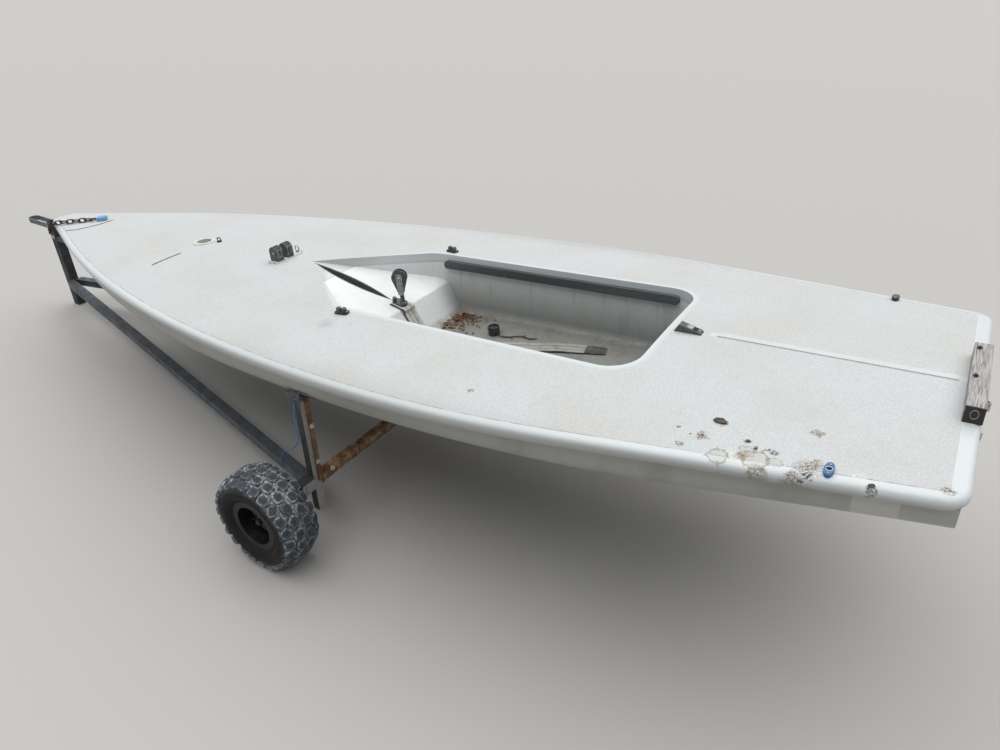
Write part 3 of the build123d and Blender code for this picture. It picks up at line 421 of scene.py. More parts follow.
def hull_finish():
    """White gelcoat painted mid grey for the shade on the hull's side, with a pale repair low on the port
    quarter, and greyer toward the keel as more painted shade.
    """
    # Painted shade: the white hull's base colour is a mid grey for its shaded side
    finish = gelcoat_finish("hull_finish", (170, 171, 166), (144, 143, 136))
    x, y, z = finish.axes()
    repair = finish.fades(abs(x - 0.165), 0.044, 0.048) * (finish.between(z, -0.16, -0.15) * (y > 0.3))
    finish.stain(repair * 0.8, (196, 196, 188), 0.5)
    # Painted shade: darker toward the keel, under the turn of the hull
    finish.stain(finish.fades(z, -0.30, -0.22, 0.45), (156, 158, 154))
    return finish.done()


def tub_finish():
    """The cockpit's skin: clean on the ramp, with painted shade growing with depth aft of it and painted
    light toward the deck, grimy on its floor.
    """
    finish = gelcoat_finish("tub_finish", (222, 225, 224), (206, 208, 204))
    x, y, z = finish.axes()
    # Painted shade: darker with depth down the cockpit aft of the ramp, and on the walls beside the ramp's
    # foot
    beside = finish.between(abs(y), 0.15, 0.27)
    shaded = finish.fades(x, RAMP_FOOT_X - 0.02, RAMP_FOOT_X + 0.05)
    well = finish.fades(x, WELL_WALL_X - 0.05, WELL_WALL_X + 0.01).larger(beside * shaded)
    depth = finish.fades(z, -COCKPIT_DEPTH, -0.02)
    finish.stain(depth * well * 0.85, (116, 119, 116))
    low = finish.fades(z, -COCKPIT_DEPTH - 0.003, -COCKPIT_DEPTH + 0.028)
    dirt = finish.between(finish.noise(15, 5.0, roughness=0.7), 0.38, 0.70, 0.25, 0.80)
    finish.stain(low * dirt, (110, 106, 96), 0.7)
    ledge = finish.between(abs(y), 0.18, 0.27)
    grime = finish.between(finish.noise(70, 5.0, roughness=0.75), 0.50, 0.66, 0.0, 0.7)
    finish.stain(low * ledge * grime, (92, 86, 74), 0.8)
    corner = finish.between(x, WELL_WALL_X - 0.22, WELL_WALL_X - 0.02)
    silt = finish.between(finish.noise(24, 5.0, roughness=0.75), 0.36, 0.60, 0.1, 0.85)
    finish.stain(low * corner * silt, (112, 100, 78), 0.8)
    # Painted light: paler toward the deck, on the upper walls and the upper ramp
    finish.patches(z, -0.090, -0.020, 0.7, (240, 242, 242))
    streaks = finish.between(finish.noise(26, 4.0, (1.0, 1.0, 0.12)), 0.52, 0.72, 0.0, 0.30)
    finish.stain(streaks * well, (126, 128, 124))
    return finish.done()


def metal_finish(name, colour, dull, rust_share, roughness, metallic):
    """Worn steel with dull patches, fine scratches and rust blooms."""
    finish = Finish(name, colour, roughness, metallic)
    finish.patches(finish.noise(22, 4.0), 0.40, 0.65, 0.8, dull, roughness + 0.2)
    bloom = finish.noise(34, 6.0, roughness=0.7)
    finish.patches(bloom, 0.72 - rust_share, 0.80 - rust_share, 1.0, (112, 70, 42), 0.85)
    finish.patches(finish.noise(260, 3.0), 0.56, 0.70, 0.5, (60, 58, 56))
    finish.raised(finish.noise(160, 4.0), 0.0005)
    return finish.done()


def plastic_finish(name, colour, faded, roughness):
    """A dull even material, chalky where the sun has faded it."""
    finish = Finish(name, colour, roughness)
    finish.patches(finish.noise(60, 4.0), 0.42, 0.66, 0.8, faded, roughness + 0.2)
    finish.patches(finish.noise(240, 3.0), 0.56, 0.70, 0.4, (150, 148, 140))
    finish.raised(finish.noise(500, 2.0), 0.0002)
    return finish.done()


def sling_finish():
    """Woven webbing: threads both ways, painted shade between the threads, and grime."""
    thread = 0.0016
    finish = Finish("sling_finish", (118, 86, 62), 0.9, frame=BOAT_FRAME)
    x, y, _ = finish.axes()
    warp, weft = (y * (tau / thread)).sine(), (x * (tau / (2.2 * thread))).sine()
    weave = warp * 0.25 + weft * 0.25 + 0.5
    finish.patches(finish.noise(40, 5.0), 0.45, 0.68, 0.6, (120, 112, 98))
    # Painted shade in the weave's hollows
    finish.stain((1.0 - weave) * 0.25, (60, 58, 54))
    finish.raised(weave, 0.0006)
    finish.shader.inputs["Sheen Weight"].default_value = 0.2
    return finish.done()


def strap_finish(name, colour, stripe, places):
    """Old flat webbing: thin stripes along it, dark along one edge, painted shade between its threads, and
    grime toward its end.
    """
    finish = Finish(name, colour, 0.85, frame=BOAT_FRAME)
    across, along = finish.layer("across"), finish.layer("along")
    weave = ((along * (tau / 0.0030)).sine() + (across * (tau / 0.0022)).sine()) * 0.25 + 0.5
    finish.patches(along, 0.30, 0.62, 0.65, (146, 144, 136))
    finish.patches(finish.noise(34, 5.0), 0.45, 0.70, 0.6, (128, 124, 114))
    for place in places:
        finish.stain(finish.fades(abs(across - place), 0.0010, 0.0020) * 0.8, stripe)
    finish.stain(finish.between(across, 0.0270, 0.0285), (40, 39, 38))
    # Painted shade in the weave's hollows
    finish.stain((1.0 - weave) * 0.22, (66, 64, 60))
    finish.raised(weave, 0.0005)
    finish.shader.inputs["Sheen Weight"].default_value = 0.15
    return finish.done()


def timber_finish():
    """Grey weathered softwood, its grain open along the length and its port end near black."""
    finish = Finish("timber_finish", (186, 183, 181), 0.85, frame=BOAT_FRAME)
    grain = finish.noise(330, 4.0, (1.0, 0.05, 1.0), distortion=0.5)
    finish.patches(grain, 0.42, 0.60, 0.85, (122, 117, 114))
    finish.patches(finish.noise(16, 3.0), 0.5, 0.7, 0.4, (160, 155, 150))
    finish.patches(finish.noise(160, 5.0, (1.0, 0.03, 1.0)), 0.58, 0.64, 0.85, (58, 54, 50))
    _, y, _ = finish.axes()
    finish.patches(y + finish.noise(90, 3.0) * 0.004, 0.2035, 0.2050, 1.0, (44, 42, 40), 0.7)
    finish.raised(grain, 0.0012)
    return finish.done()


def rail_finish():
    """Grey rubber, streaked along its length."""
    finish = Finish("rail_finish", (62, 67, 69), 0.42, frame=BOAT_FRAME)
    finish.patches(finish.noise(30, 4.0, (0.1, 1.0, 1.0)), 0.45, 0.66, 0.6, (88, 96, 100), 0.7)
    finish.patches(finish.noise(180, 3.0), 0.58, 0.72, 0.5, (128, 130, 128), 0.8)
    finish.raised(finish.noise(350, 2.0), 0.0002)
    return finish.done()


def tyre_finish():
    """Dark rubber, greyed and scraped pale along the edges of the tread blocks."""
    finish = Finish("tyre_finish", (50, 56, 63), 0.75)
    finish.patches(finish.noise(60, 5.0, roughness=0.7), 0.40, 0.66, 0.6, (76, 83, 92))
    scrape = finish.between(finish.noise(90, 6.0, roughness=0.85), 0.40, 0.60)
    patchy = finish.between(finish.noise(17, 3.0), 0.36, 0.58, 0.4, 1.0)
    worn = finish.math("MULTIPLY", finish.layer("worn"), scrape * patchy, clamp=True)
    finish.stain(worn, (206, 210, 210), 0.9)
    cracks = finish.cells(52, "DISTANCE_TO_EDGE")
    finish.stain(finish.fades(cracks, 0.0, 0.016, 0.35), (156, 162, 164), 0.9)
    finish.stain(finish.layer("sidewall"), (13, 13, 13), 0.7)
    finish.patches(finish.noise(26, 5.0, roughness=0.7), 0.54, 0.76, 0.14, (96, 92, 84), 0.95)
    finish.shader.inputs["Specular IOR Level"].default_value = 0.3
    finish.raised(finish.noise(220, 3.0), 0.0006)
    return finish.done()


def rim_finish(name, centre):
    """Dark paint, rusted toward the rim's outer edge."""
    finish = Finish(name, (15, 14, 13), 0.5, 0.2, frame=Matrix.Translation(centre))
    x, _, z = finish.axes()
    radius = (x * x + z * z).root()
    blotch = finish.noise(36, 5.0, roughness=0.7)
    edge = finish.between(radius, 0.082, 0.094) + (blotch - 0.80)
    finish.patches(edge, 0.0, 0.5, 1.0, (50, 38, 28), 0.7)
    finish.patches(finish.noise(20, 4.0), 0.52, 0.70, 0.4, (42, 39, 35), 0.7)
    finish.raised(blotch, 0.0006)
    return finish.done()


def upright_finish():
    """Box section, dark, with its aft face painted lighter: painted light on the face the light falls on,
    against its shaded sides.
    """
    finish = Finish("upright_finish", (62, 64, 66), 0.5, 0.4)
    normal_x = finish.axes(finish.node("ShaderNodeNewGeometry", {}, "Normal"))[0]
    # Painted light: faces looking aft are lighter than the shaded sides
    finish.stain(finish.fades(normal_x, -0.9, -0.6), (176, 174, 172), 0.5)
    finish.patches(finish.noise(28, 5.0, (1.0, 1.0, 0.4), 0.7), 0.52, 0.70, 0.75, (112, 108, 104), 0.7)
    finish.patches(finish.noise(90, 5.0, roughness=0.7), 0.60, 0.70, 0.8, (92, 62, 42), 0.85)
    finish.raised(finish.noise(200, 4.0), 0.0004)
    return finish.done()


def wrap_finish():
    """Dark plastic sheet, with painted highlights along its folds."""
    finish = Finish("wrap_finish", (62, 66, 72), 0.35)
    folds = finish.line(finish.noise(75, 5.0, roughness=0.8, distortion=1.2), 0.5, 0.05)
    # Painted highlight: pale and glossy along the folds
    finish.stain(folds * 0.75, (190, 194, 200), 0.3)
    finish.patches(finish.noise(40, 4.0), 0.5, 0.68, 0.5, (110, 116, 124))
    finish.raised(folds, 0.0012)
    return finish.done()


def rust_finish(name, colour, pale, roughness):
    """Steel that is rusted all over, paler in patches: rubbed rust, and on the axle beam also a painted
    highlight.
    """
    finish = Finish(name, colour, roughness, 0.1)
    finish.patches(finish.noise(20, 6.0, roughness=0.7), 0.42, 0.62, 0.9, pale)
    finish.patches(finish.noise(75, 5.0, roughness=0.7), 0.52, 0.68, 0.8, (64, 46, 36))
    finish.raised(finish.noise(120, 5.0), 0.0008)
    return finish.done()


def fairlead_finish():
    """The port one is blue, the starboard one black."""
    finish = Finish("fairlead_finish", (30, 30, 32), 0.4)
    _, y, _ = finish.axes()
    finish.stain(y > 0.0, (44, 104, 158), 0.4)
    finish.patches(finish.noise(90, 4.0), 0.5, 0.7, 0.5, (26, 46, 66), 0.6)
    finish.raised(finish.noise(400, 2.0), 0.0002)
    return finish.done()


# Colour, dull colour, share of rust, roughness, metallic
METALS = {
    "steel": ((178, 180, 178), (140, 140, 136), 0.02, 0.35, 0.9),
    "dull_steel": ((116, 124, 132), (94, 100, 106), 0.04, 0.5, 0.5),
    "chain": ((74, 70, 66), (52, 48, 45), 0.12, 0.6, 0.5),
    # Painted shade, in part: the bar and post colours were darkened to stand for the shade they lie in
    "bar": ((88, 94, 101), (72, 77, 83), 0.05, 0.5, 0.45),
    "post": ((66, 69, 72), (48, 50, 52), 0.10, 0.55, 0.45),
    "pale_metal": ((186, 184, 178), (158, 155, 148), 0.03, 0.5, 0.25),
    "bolt": ((206, 202, 192), (176, 168, 152), 0.04, 0.5, 0.3),
    "dark_steel": ((62, 60, 58), (46, 44, 42), 0.10, 0.5, 0.6),
}
# Colour, faded colour, roughness
PLASTICS = {
    "white_plastic": ((222, 222, 216), (204, 204, 198), 0.5),
    "grey_plastic": ((70, 72, 74), (104, 106, 106), 0.5),
    "black_plastic": ((34, 34, 36), (60, 60, 60), 0.5),
    "blue_plastic": ((96, 160, 214), (132, 184, 222), 0.42),
    "twine": ((62, 128, 196), (96, 156, 208), 0.6),
    "leaf": ((98, 72, 46), (70, 58, 44), 0.8),
    "scrap": ((66, 58, 50), (104, 92, 78), 0.85),
    "petal": ((168, 44, 48), (126, 40, 44), 0.7),
    "twig": ((84, 66, 50), (58, 48, 40), 0.85),
}
looks = {
    "deck": deck_finish(),
    "hull": hull_finish(),
    "tub": tub_finish(),
    # Painted shade: the daggerboard case's walls are a mid grey for the shade down the narrow slot
    "slot": gelcoat_finish("slot_finish", (112, 114, 112), (92, 94, 92)).done(),
    "brown_rust": rust_finish("brown_rust_finish", (116, 86, 64), (158, 130, 100), 0.85),
    # The beam's pale patches are partly painted highlight, brighter than rubbed rust alone
    "beam_rust": rust_finish("beam_rust_finish", (120, 88, 62), (186, 156, 120), 0.5),
    "upright": upright_finish(),
    "timber": timber_finish(),
    "rail": rail_finish(),
    "strap": strap_finish("strap_finish", (202, 200, 192), (74, 72, 68), (-0.016, -0.009, 0.010)),
    "tail": strap_finish("tail_finish", (58, 57, 55), (96, 94, 90), (0.0,)),
    "sling": sling_finish(),
    "wrap": wrap_finish(),
    "tyre": tyre_finish(),
    "fairlead": fairlead_finish(),
}
looks.update({name: metal_finish(f"{name}_finish", *values) for name, values in METALS.items()})
looks.update({name: plastic_finish(f"{name}_finish", *values) for name, values in PLASTICS.items()})

# Which CAD nodes each look goes on
DRESSED = {
    "deck": ["deck"],
    "hull": ["hull"],
    "tub": ["cockpit_tub"],
    "slot": ["daggerboard_case"],
    "white_plastic": ["mast_step", "block_plate"],
    "grey_plastic": [
        "turning_blocks", "side_cleat_cams", "traveller_cleat", "mainsheet_base", "mainsheet_block",
    ],
    "black_plastic": ["side_cleat_bases", "floor_cup", "drain_plug", "bow_chock"],
    "blue_plastic": ["padlock"],
    "fairlead": ["fairleads"],
    "timber": ["transom_timber"],
    "rail": ["grab_rails"],
    "steel": ["block_eye", "gudgeons"],
    "chain": ["mast_eye", "chain", "padlock_shackle"],
    "post": ["post"],
    "dull_steel": ["handle"],
    "bar": ["bow_arm", "drawbar_port", "drawbar_starboard"],
    "upright": ["uprights", "axle_brackets"],
    "brown_rust": ["braces"],
    "beam_rust": ["axle_beam"],
    "dark_steel": ["stub_axles", "axle_washers"],
}


def dress(node, material):
    """Gives a CAD node its material."""
    mesh = nodes[node].data
    mesh.materials.clear()
    mesh.materials.append(material)


for look, dressed in DRESSED.items():
    for node in dressed:
        dress(node, looks[look])


# Mesh building

def new_object(name, data):
    made = bpy.data.objects.new(name, data)
    bpy.context.scene.collection.objects.link(made)
    return made


def new_mesh(name, bm, material):
    mesh = bpy.data.meshes.new(name)
    bm.to_mesh(mesh)
    bm.free()
    mesh.materials.append(material)
    return mesh


def finish_piece(name, bm, look, body=BOAT, crease=35.0):
    """Makes an object of a mesh, smooth between faces that meet at less than the crease."""
    bmesh.ops.recalc_face_normals(bm, faces=bm.faces)
    mesh = new_mesh(name, bm, looks[look])
    mesh.polygons.foreach_set("use_smooth", [True] * len(mesh.polygons))
    mesh.set_sharp_from_angle(angle=radians(crease))
    piece = new_object(name, mesh)
    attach(piece, body)
    return piece


def rings(bm, rows, looped=False):
    """Joins closed rows of points into a skin with ends, or into a loop; returns the rows' vertices."""
    made = [[bm.verts.new(point) for point in row] for row in rows]
    for low, high in zip(made, made[1:] + (made[:1] if looped else [])):
        for i in range(len(low)):
            j = (i + 1) % len(low)
            bm.faces.new((low[i], low[j], high[j], high[i]))
    if not looped:
        bm.faces.new(made[0])
        bm.faces.new(made[-1])
    return made


def circle(count):
    """Evenly spaced angles round a whole turn."""
    return [tau * i / count for i in range(count)]


def lathe(bm, place, profile, sides):
    """Turns radius and height pairs about the place's z axis."""
    rings(bm, [[place @ Vector((radius * cos(a), radius * sin(a), height)) for a in circle(sides)]
               for radius, height in profile])


def bolt(bm, place, radius, thread=0.0):
    """A hexagon head on a washer; thread is how far the end stands beyond the nut."""
    washer, height = 0.0019, 0.0019 + 1.1 * radius
    lathe(bm, place, [(1.9 * radius, 0.0), (1.9 * radius, washer - 0.0003), (1.75 * radius, washer)], 24)
    lathe(bm, place, [(1.2 * radius, washer), (1.2 * radius, height - 0.001), (1.05 * radius, height)], 6)
    if thread:
        end = height + thread
        lathe(bm, place, [(0.7 * radius, height), (0.7 * radius, end - 0.001), (0.55 * radius, end)], 14)


def screw(bm, place, radius):
    """A domed screw head with a round socket."""
    shares = ((1.0, 0.0), (1.0, 0.4), (0.8, 0.7), (0.42, 0.85), (0.40, 0.35), (0.05, 0.30))
    lathe(bm, place, [(share * radius, height * radius) for share, height in shares], 16)


def bead(bm, points, radius, seed=0):
    """A lumpy round bead along a row of points."""
    rows = []
    for i, point in enumerate(points):
        ahead = (points[min(i + 1, len(points) - 1)] - points[max(i - 1, 0)]).normalized()
        side = ahead.orthogonal().normalized()
        up = ahead.cross(side)
        size = radius * (0.85 + 0.3 * noise.noise(point * 200 + Vector((seed, 0, 0))))
        size *= 0.6 if i in (0, len(points) - 1) else 1.0
        rows.append([point + (side * cos(a) + up * sin(a)) * size for a in circle(8)])
    rings(bm, rows)


def slab(bm, place, length, width, thick):
    """A thin plate with rounded corners, standing on the place."""
    corner = min(length, width) * 0.35
    outline = []
    for quarter, (side_x, side_y) in enumerate(((1, 1), (-1, 1), (-1, -1), (1, -1))):
        for step in range(5):
            angle = tau / 4 * (quarter + step / 4)
            outline.append((side_x * (length / 2 - corner) + corner * cos(angle),
                            side_y * (width / 2 - corner) + corner * sin(angle)))
    rings(bm, [[place @ Vector((x * share, y * share, height)) for x, y in outline]
               for share, height in ((1.0, 0.0), (1.0, thick * 0.7), (0.97, thick))])


def hoop(bm, place, radius, wire, squeeze=1.0, count=32, sides=8):
    """A ring of wire lying flat on the place; squeeze makes it oval."""
    rows = []
    for a in circle(count):
        out = Vector((cos(a) * squeeze, sin(a), 0))
        rows.append([place @ (out * radius + out * (wire * cos(b)) + Vector((0, 0, wire * sin(b))))
                     for b in circle(sides)])
    rings(bm, rows, looped=True)


def line_points(start, end, count=12):
    start, end = Vector(start), Vector(end)
    return [start.lerp(end, i / (count - 1)) for i in range(count)]


# Camera, as the photograph was taken; its lens in millimetres
CAMERA_LENS = 26.1
CAMERA_SENSOR = 36.0
CAMERA_AHEAD = Vector((0.466, -0.718, -0.517))
CAMERA_RIGHT = Vector((-0.845, -0.535, -0.019))
CAMERA_FROM_TRANSOM = 0.188
CAMERA_Y = 1.915
CAMERA_Z = 1.777


def make_camera():
    ahead = CAMERA_AHEAD.normalized()
    right = (CAMERA_RIGHT - ahead * CAMERA_RIGHT.dot(ahead)).normalized()
    up = right.cross(ahead)
    turn = Matrix((right, up, -ahead)).transposed().to_4x4()
    data = bpy.data.cameras.new("camera")
    data.lens = CAMERA_LENS
    data.sensor_width = CAMERA_SENSOR
    data.clip_start = 0.05
    camera = new_object("camera", data)
    camera.matrix_world = shift(CAMERA_FROM_TRANSOM - MIDDLE_X, CAMERA_Y, CAMERA_Z) @ turn
    bpy.context.scene.camera = camera


# Twine hanging from the port pad: the same points as the tube in the part
AXLE_X = AXLE_FROM_TRANSOM - MIDDLE_X
pad_low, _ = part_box("support_pads")
twine_low, twine_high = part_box("tie_twine")
TWINE_DIAMETER = 0.004
TWINE_Y = (twine_low.y + twine_high.y) / 2
TWINE_POINTS = [
    (AXLE_X - 0.008, TWINE_Y, pad_low.z + 0.005), (AXLE_X + 0.012, TWINE_Y, pad_low.z - 0.060),
    (AXLE_X - 0.004, TWINE_Y, 0.370), (AXLE_X + 0.050, TWINE_Y, 0.306), (AXLE_X + 0.115, TWINE_Y, 0.275),
    (AXLE_X + 0.130, TWINE_Y, 0.205),
]


def curve_through(name, points, radius):
    """A NURBS curve with these control points."""
    data = bpy.data.curves.new(name, "CURVE")
    data.dimensions = "3D"
    data.bevel_depth = radius
    data.bevel_resolution = 3
    data.resolution_u = 12
    spline = data.splines.new("NURBS")
    spline.points.add(len(points) - 1)
    for point, place in zip(spline.points, points):
        point.co = (*place, 1.0)
    spline.order_u = 3
    spline.use_endpoint_u = True
    return new_object(name, data)


def curve_length(curve):
    radius = curve.data.bevel_depth
    curve.data.bevel_depth = 0.0
    mesh = bpy.data.meshes.new_from_object(curve)
    curve.data.bevel_depth = radius
    points = [v.co.copy() for v in mesh.vertices]
    bpy.data.meshes.remove(mesh)
    return sum((b - a).length for a, b in zip(points, points[1:]))


def make_twine():
    twine = curve_through("blue_twine", TWINE_POINTS, TWINE_DIAMETER / 2)
    twine.data.materials.append(looks["twine"])
    length = curve_length(twine)
    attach(twine, BOAT)
    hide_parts("tie_twine")


# Hiking strap, slack: down the ramp and the well's front wall, then flat along the floor
STRAP_HALF = 0.034
STRAP_TURN_X = WELL_WALL_X - 0.095
STRAP_END = Vector((COCKPIT_AFT_X + 0.362, -0.152))
STRAP_END_SLOPE = 0.24
STRAP_LIFT = 0.0021
EDGE_BEND = 0.0122
FLOOR_BEND = 0.040
TAIL_LENGTH = 0.077
# Points round a band's section: share of its half width, share of its thickness
BAND_SECTION = [
    (-1.0, 0.0), (-0.985, 0.42), (-0.9, 0.5), (0.9, 0.5), (0.985, 0.42), (1.0, 0.0), (0.985, -0.42),
    (0.9, -0.5), (-0.9, -0.5), (-0.985, -0.42),
]
STRAP_SECTION = BAND_SECTION[:3] + [(-0.3, 0.5), (0.3, 0.5)] + BAND_SECTION[3:]


def strap_floor(share):
    """Place and heading of the strap's centre line on the floor."""
    start, end = Vector((STRAP_TURN_X, 0.0)), STRAP_END
    reach = (end - start).length
    first = Vector((-1.0, 0.0)) * reach
    last = Vector((-1.0, -STRAP_END_SLOPE)).normalized() * reach
    s, t = share, 1 - share
    place = start * (t * t * (1 + 2 * s)) + first * (s * t * t)
    place = place + end * (s * s * (3 - 2 * s)) - last * (s * s * t)
    heading = (end - start) * (6 * s * t) + first * (t * (1 - 3 * s)) + last * (s * (3 * s - 2))
    return place, heading.normalized()


def strap_rows():
    """Places, across directions and normals from under the mainsheet plate to the strap's end."""
    slope = atan2(RAMP_DROP, APEX_X - RAMP_FOOT_X)
    steep = atan2(COCKPIT_DEPTH - RAMP_DROP, RAMP_FOOT_X - WELL_WALL_X)
    rows = []
    for x in (0.052, 0.040, 0.028, 0.016, 0.006):
        rows.append((Vector((RAMP_FOOT_X + x, 0, ramp_z(RAMP_FOOT_X + x))), slope))
    for share in (0.0, 0.33, 0.67, 1.0):
        turn = slope + (steep - slope) * share
        centre = Vector((RAMP_FOOT_X - 0.0025, 0, -RAMP_DROP - 0.0120))
        rows.append((centre + Vector((-sin(turn), 0, cos(turn))) * EDGE_BEND, turn))
    wall = Vector((WELL_WALL_X - RAMP_FOOT_X, 0, RAMP_DROP - COCKPIT_DEPTH))
    for share in (0.16, 0.30, 0.44, 0.58, 0.70):
        rows.append((Vector((RAMP_FOOT_X, 0, -RAMP_DROP)) + wall * share, steep))
    for share in (0.2, 0.4, 0.6, 0.8, 1.0):
        turn = steep * (1 - share)
        centre = Vector((WELL_WALL_X - 0.022, 0, -COCKPIT_DEPTH + FLOOR_BEND))
        rows.append((centre + Vector((sin(turn), 0, -cos(turn))) * FLOOR_BEND, turn))
    made = []
    for point, turn in rows:
        normal = Vector((-sin(turn), 0, cos(turn)))
        made.append((point + normal * STRAP_LIFT, Vector((0, 1, 0)), normal))
    for i in range(1, 41):
        place, heading = strap_floor(i / 40)
        lift = -COCKPIT_DEPTH + STRAP_LIFT + 0.0010 * (1 - cos(tau * i / 13))
        made.append((Vector((place.x, place.y, lift)), Vector((heading.y, -heading.x, 0)), Vector((0, 0, 1))))
    return made


def strap_skin(rows, thick, half, name, look):
    """A thin band with how far along and across it each point lies."""
    bm = bmesh.new()
    across_layer = bm.verts.layers.float.new("across")
    along_layer = bm.verts.layers.float.new("along")
    skin = []
    for i, (point, across, normal) in enumerate(rows):
        row = []
        for share, lift in STRAP_SECTION:
            curl = max(0.0, 0.0009 * sin(0.9 * i) * share)
            row.append(BOAT_FRAME @ (point + (across * (share * half(i)) + normal * (lift * thick + curl))))
        skin.append(row)
    along = 0.0
    previous = rows[0][0]
    for made, (point, _, _) in zip(rings(bm, skin), rows):
        along += (point - previous).length
        previous = point
        for vertex, (share, _) in zip(made, STRAP_SECTION):
            vertex[across_layer] = share * STRAP_HALF
            vertex[along_layer] = along
    return finish_piece(name, bm, look)


def make_strap():
    strap = strap_skin(strap_rows(), 0.0028, lambda i: STRAP_HALF * (1 - 0.02 * abs(sin(0.7 * i))),
                       "hiking_strap_webbing", "strap")
    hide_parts("hiking_strap")
    heading = Vector((-1.0, -STRAP_END_SLOPE, 0)).normalized()
    across = Vector((heading.y, -heading.x, 0))
    start = Vector((STRAP_END.x, STRAP_END.y, -COCKPIT_DEPTH + STRAP_LIFT))
    tail = []
    for i in range(16):
        point = start + heading * (0.0005 + (TAIL_LENGTH - 0.001) * i / 15)
        tail.append((point + Vector((0, 0, 0.0006 * (1 - cos(0.9 * i)))), across, Vector((0, 0, 1))))
    end = strap_skin(tail, 0.0032, lambda i: 0.030 - 0.0009 * max(0, i - 9),
                     "strap_tail_webbing", "tail")
    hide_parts("strap_tail")


# Trolley: webbing under the hull and wrapped pads on the uprights
SLING_STEPS = 96
SLING_HALF = 0.0262
SLING_THICK = 0.0024


def make_sling():
    """Webbing drawn up against the hull's bottom, from pad to pad."""
    hull_surface = surface_of("hull")
    low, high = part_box("sling")
    middle_x = (low.x + high.x) / 2
    reach = high.y - 0.002
    skin = []
    for i in range(SLING_STEPS + 1):
        y = -reach + 2 * reach * i / SLING_STEPS
        hit, normal, _, _ = hull_surface.ray_cast(Vector((middle_x, y, 0.05)), Vector((0, 0, 1)))
        if hit is None:
            continue
        if normal.z > 0:
            normal = -normal
        across = (Vector((1, 0, 0)) - normal * normal.x).normalized()
        half = SLING_HALF + 0.0005 * sin(0.8 * len(skin))
        middle = hit + normal * 0.0022
        skin.append([middle + across * (share * half) + normal * (lift * SLING_THICK)
                     for share, lift in BAND_SECTION])
    bm = bmesh.new()
    rings(bm, skin)
    sling = finish_piece("sling_webbing", bm, "sling")
    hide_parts("sling")


def make_pads():
    """Blocks wrapped in crumpled plastic."""
    copy = new_object("pad_source", nodes["support_pads"].data.copy())
    remesh = copy.modifiers.new("remesh", "REMESH")
    remesh.mode = "VOXEL"
    remesh.voxel_size = 0.0035
    shape = copy.evaluated_get(bpy.context.evaluated_depsgraph_get())
    mesh = bpy.data.meshes.new_from_object(shape)
    bpy.data.objects.remove(copy)
    bm = bmesh.new()
    bm.from_mesh(mesh)
    bm.normal_update()
    moves = []
    for vertex in bm.verts:
        fold = abs(noise.noise(vertex.co * 34 + Vector((3, 1, 7))))
        crease = abs(noise.noise(Vector((vertex.co.x * 60, vertex.co.y * 60, vertex.co.z * 130))))
        moves.append(vertex.normal * -(0.0045 * (1 - fold) ** 6 + 0.002 * crease + 0.0005))
    for vertex, move in zip(bm.verts, moves):
        vertex.co += move
    pads = finish_piece("wrapped_pads", bm, "wrap", crease=60)
    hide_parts("support_pads")


# Wheels
TYRE_RADIUS = 0.178
TYRE_WIDTH = 0.156
TYRE_SIDES = 96
LUG_HEIGHT = 0.008
LUG_COUNT = 24
LUG_CORNERS = 8
# From the tread's middle to the bead: drop below the crown, share of the half width
CARCASS = [
    (0.0, 0.0), (0.001, 0.2), (0.005, 0.45), (0.013, 0.68), (0.026, 0.84), (0.040, 0.92), (0.054, 0.90),
    (0.066, 0.82), (0.074, 0.74),
]
# Rows of tread blocks: place across the tread, drop, tilt, width, length, shift round the tyre
LUG_ROWS = [
    (-0.125, 0.0018, 0.0, 0.036, 0.041, 0.0), (0.125, 0.0018, 0.0, 0.036, 0.041, 0.5),
    (-0.360, 0.0115, 22.0, 0.036, 0.038, 0.5), (0.360, 0.0115, -22.0, 0.036, 0.038, 0.0),
]
# Rings from a block's root to its top: size, height, wear
LUG_STEPS = [
    (1.10, -0.015, 0.3), (1.03, -0.0030, 0.8), (0.965, -0.0010, 1.0), (0.86, 0.0, 0.75),
    (0.70, 0.0004, 0.06), (0.30, 0.0005, 0.0),
]
# Ribs on the sidewall: radius, height over the wheel's middle
RIBS = [(0.124, 0.0655), (0.131, 0.0688), (0.104, 0.0605)]
VALVE = [
    (0.006, 0.0), (0.0055, 0.010), (0.0038, 0.013), (0.0038, 0.024), (0.0046, 0.025), (0.0046, 0.033),
    (0.003, 0.035),
]


def lug_outline(local, width, length):
    """A worn tread block's outline: uneven corners round a soft rectangle."""
    start = local.uniform(0, tau)
    outline = []
    for k in range(LUG_CORNERS):
        angle = start + tau * (k + local.uniform(-0.25, 0.25)) / LUG_CORNERS
        square = abs(2 * cos(angle) / width) ** 4 + abs(2 * sin(angle) / length) ** 4
        reach = square ** -0.25 * local.uniform(0.96, 1.04)
        outline.append((reach * cos(angle), reach * sin(angle)))
    return outline


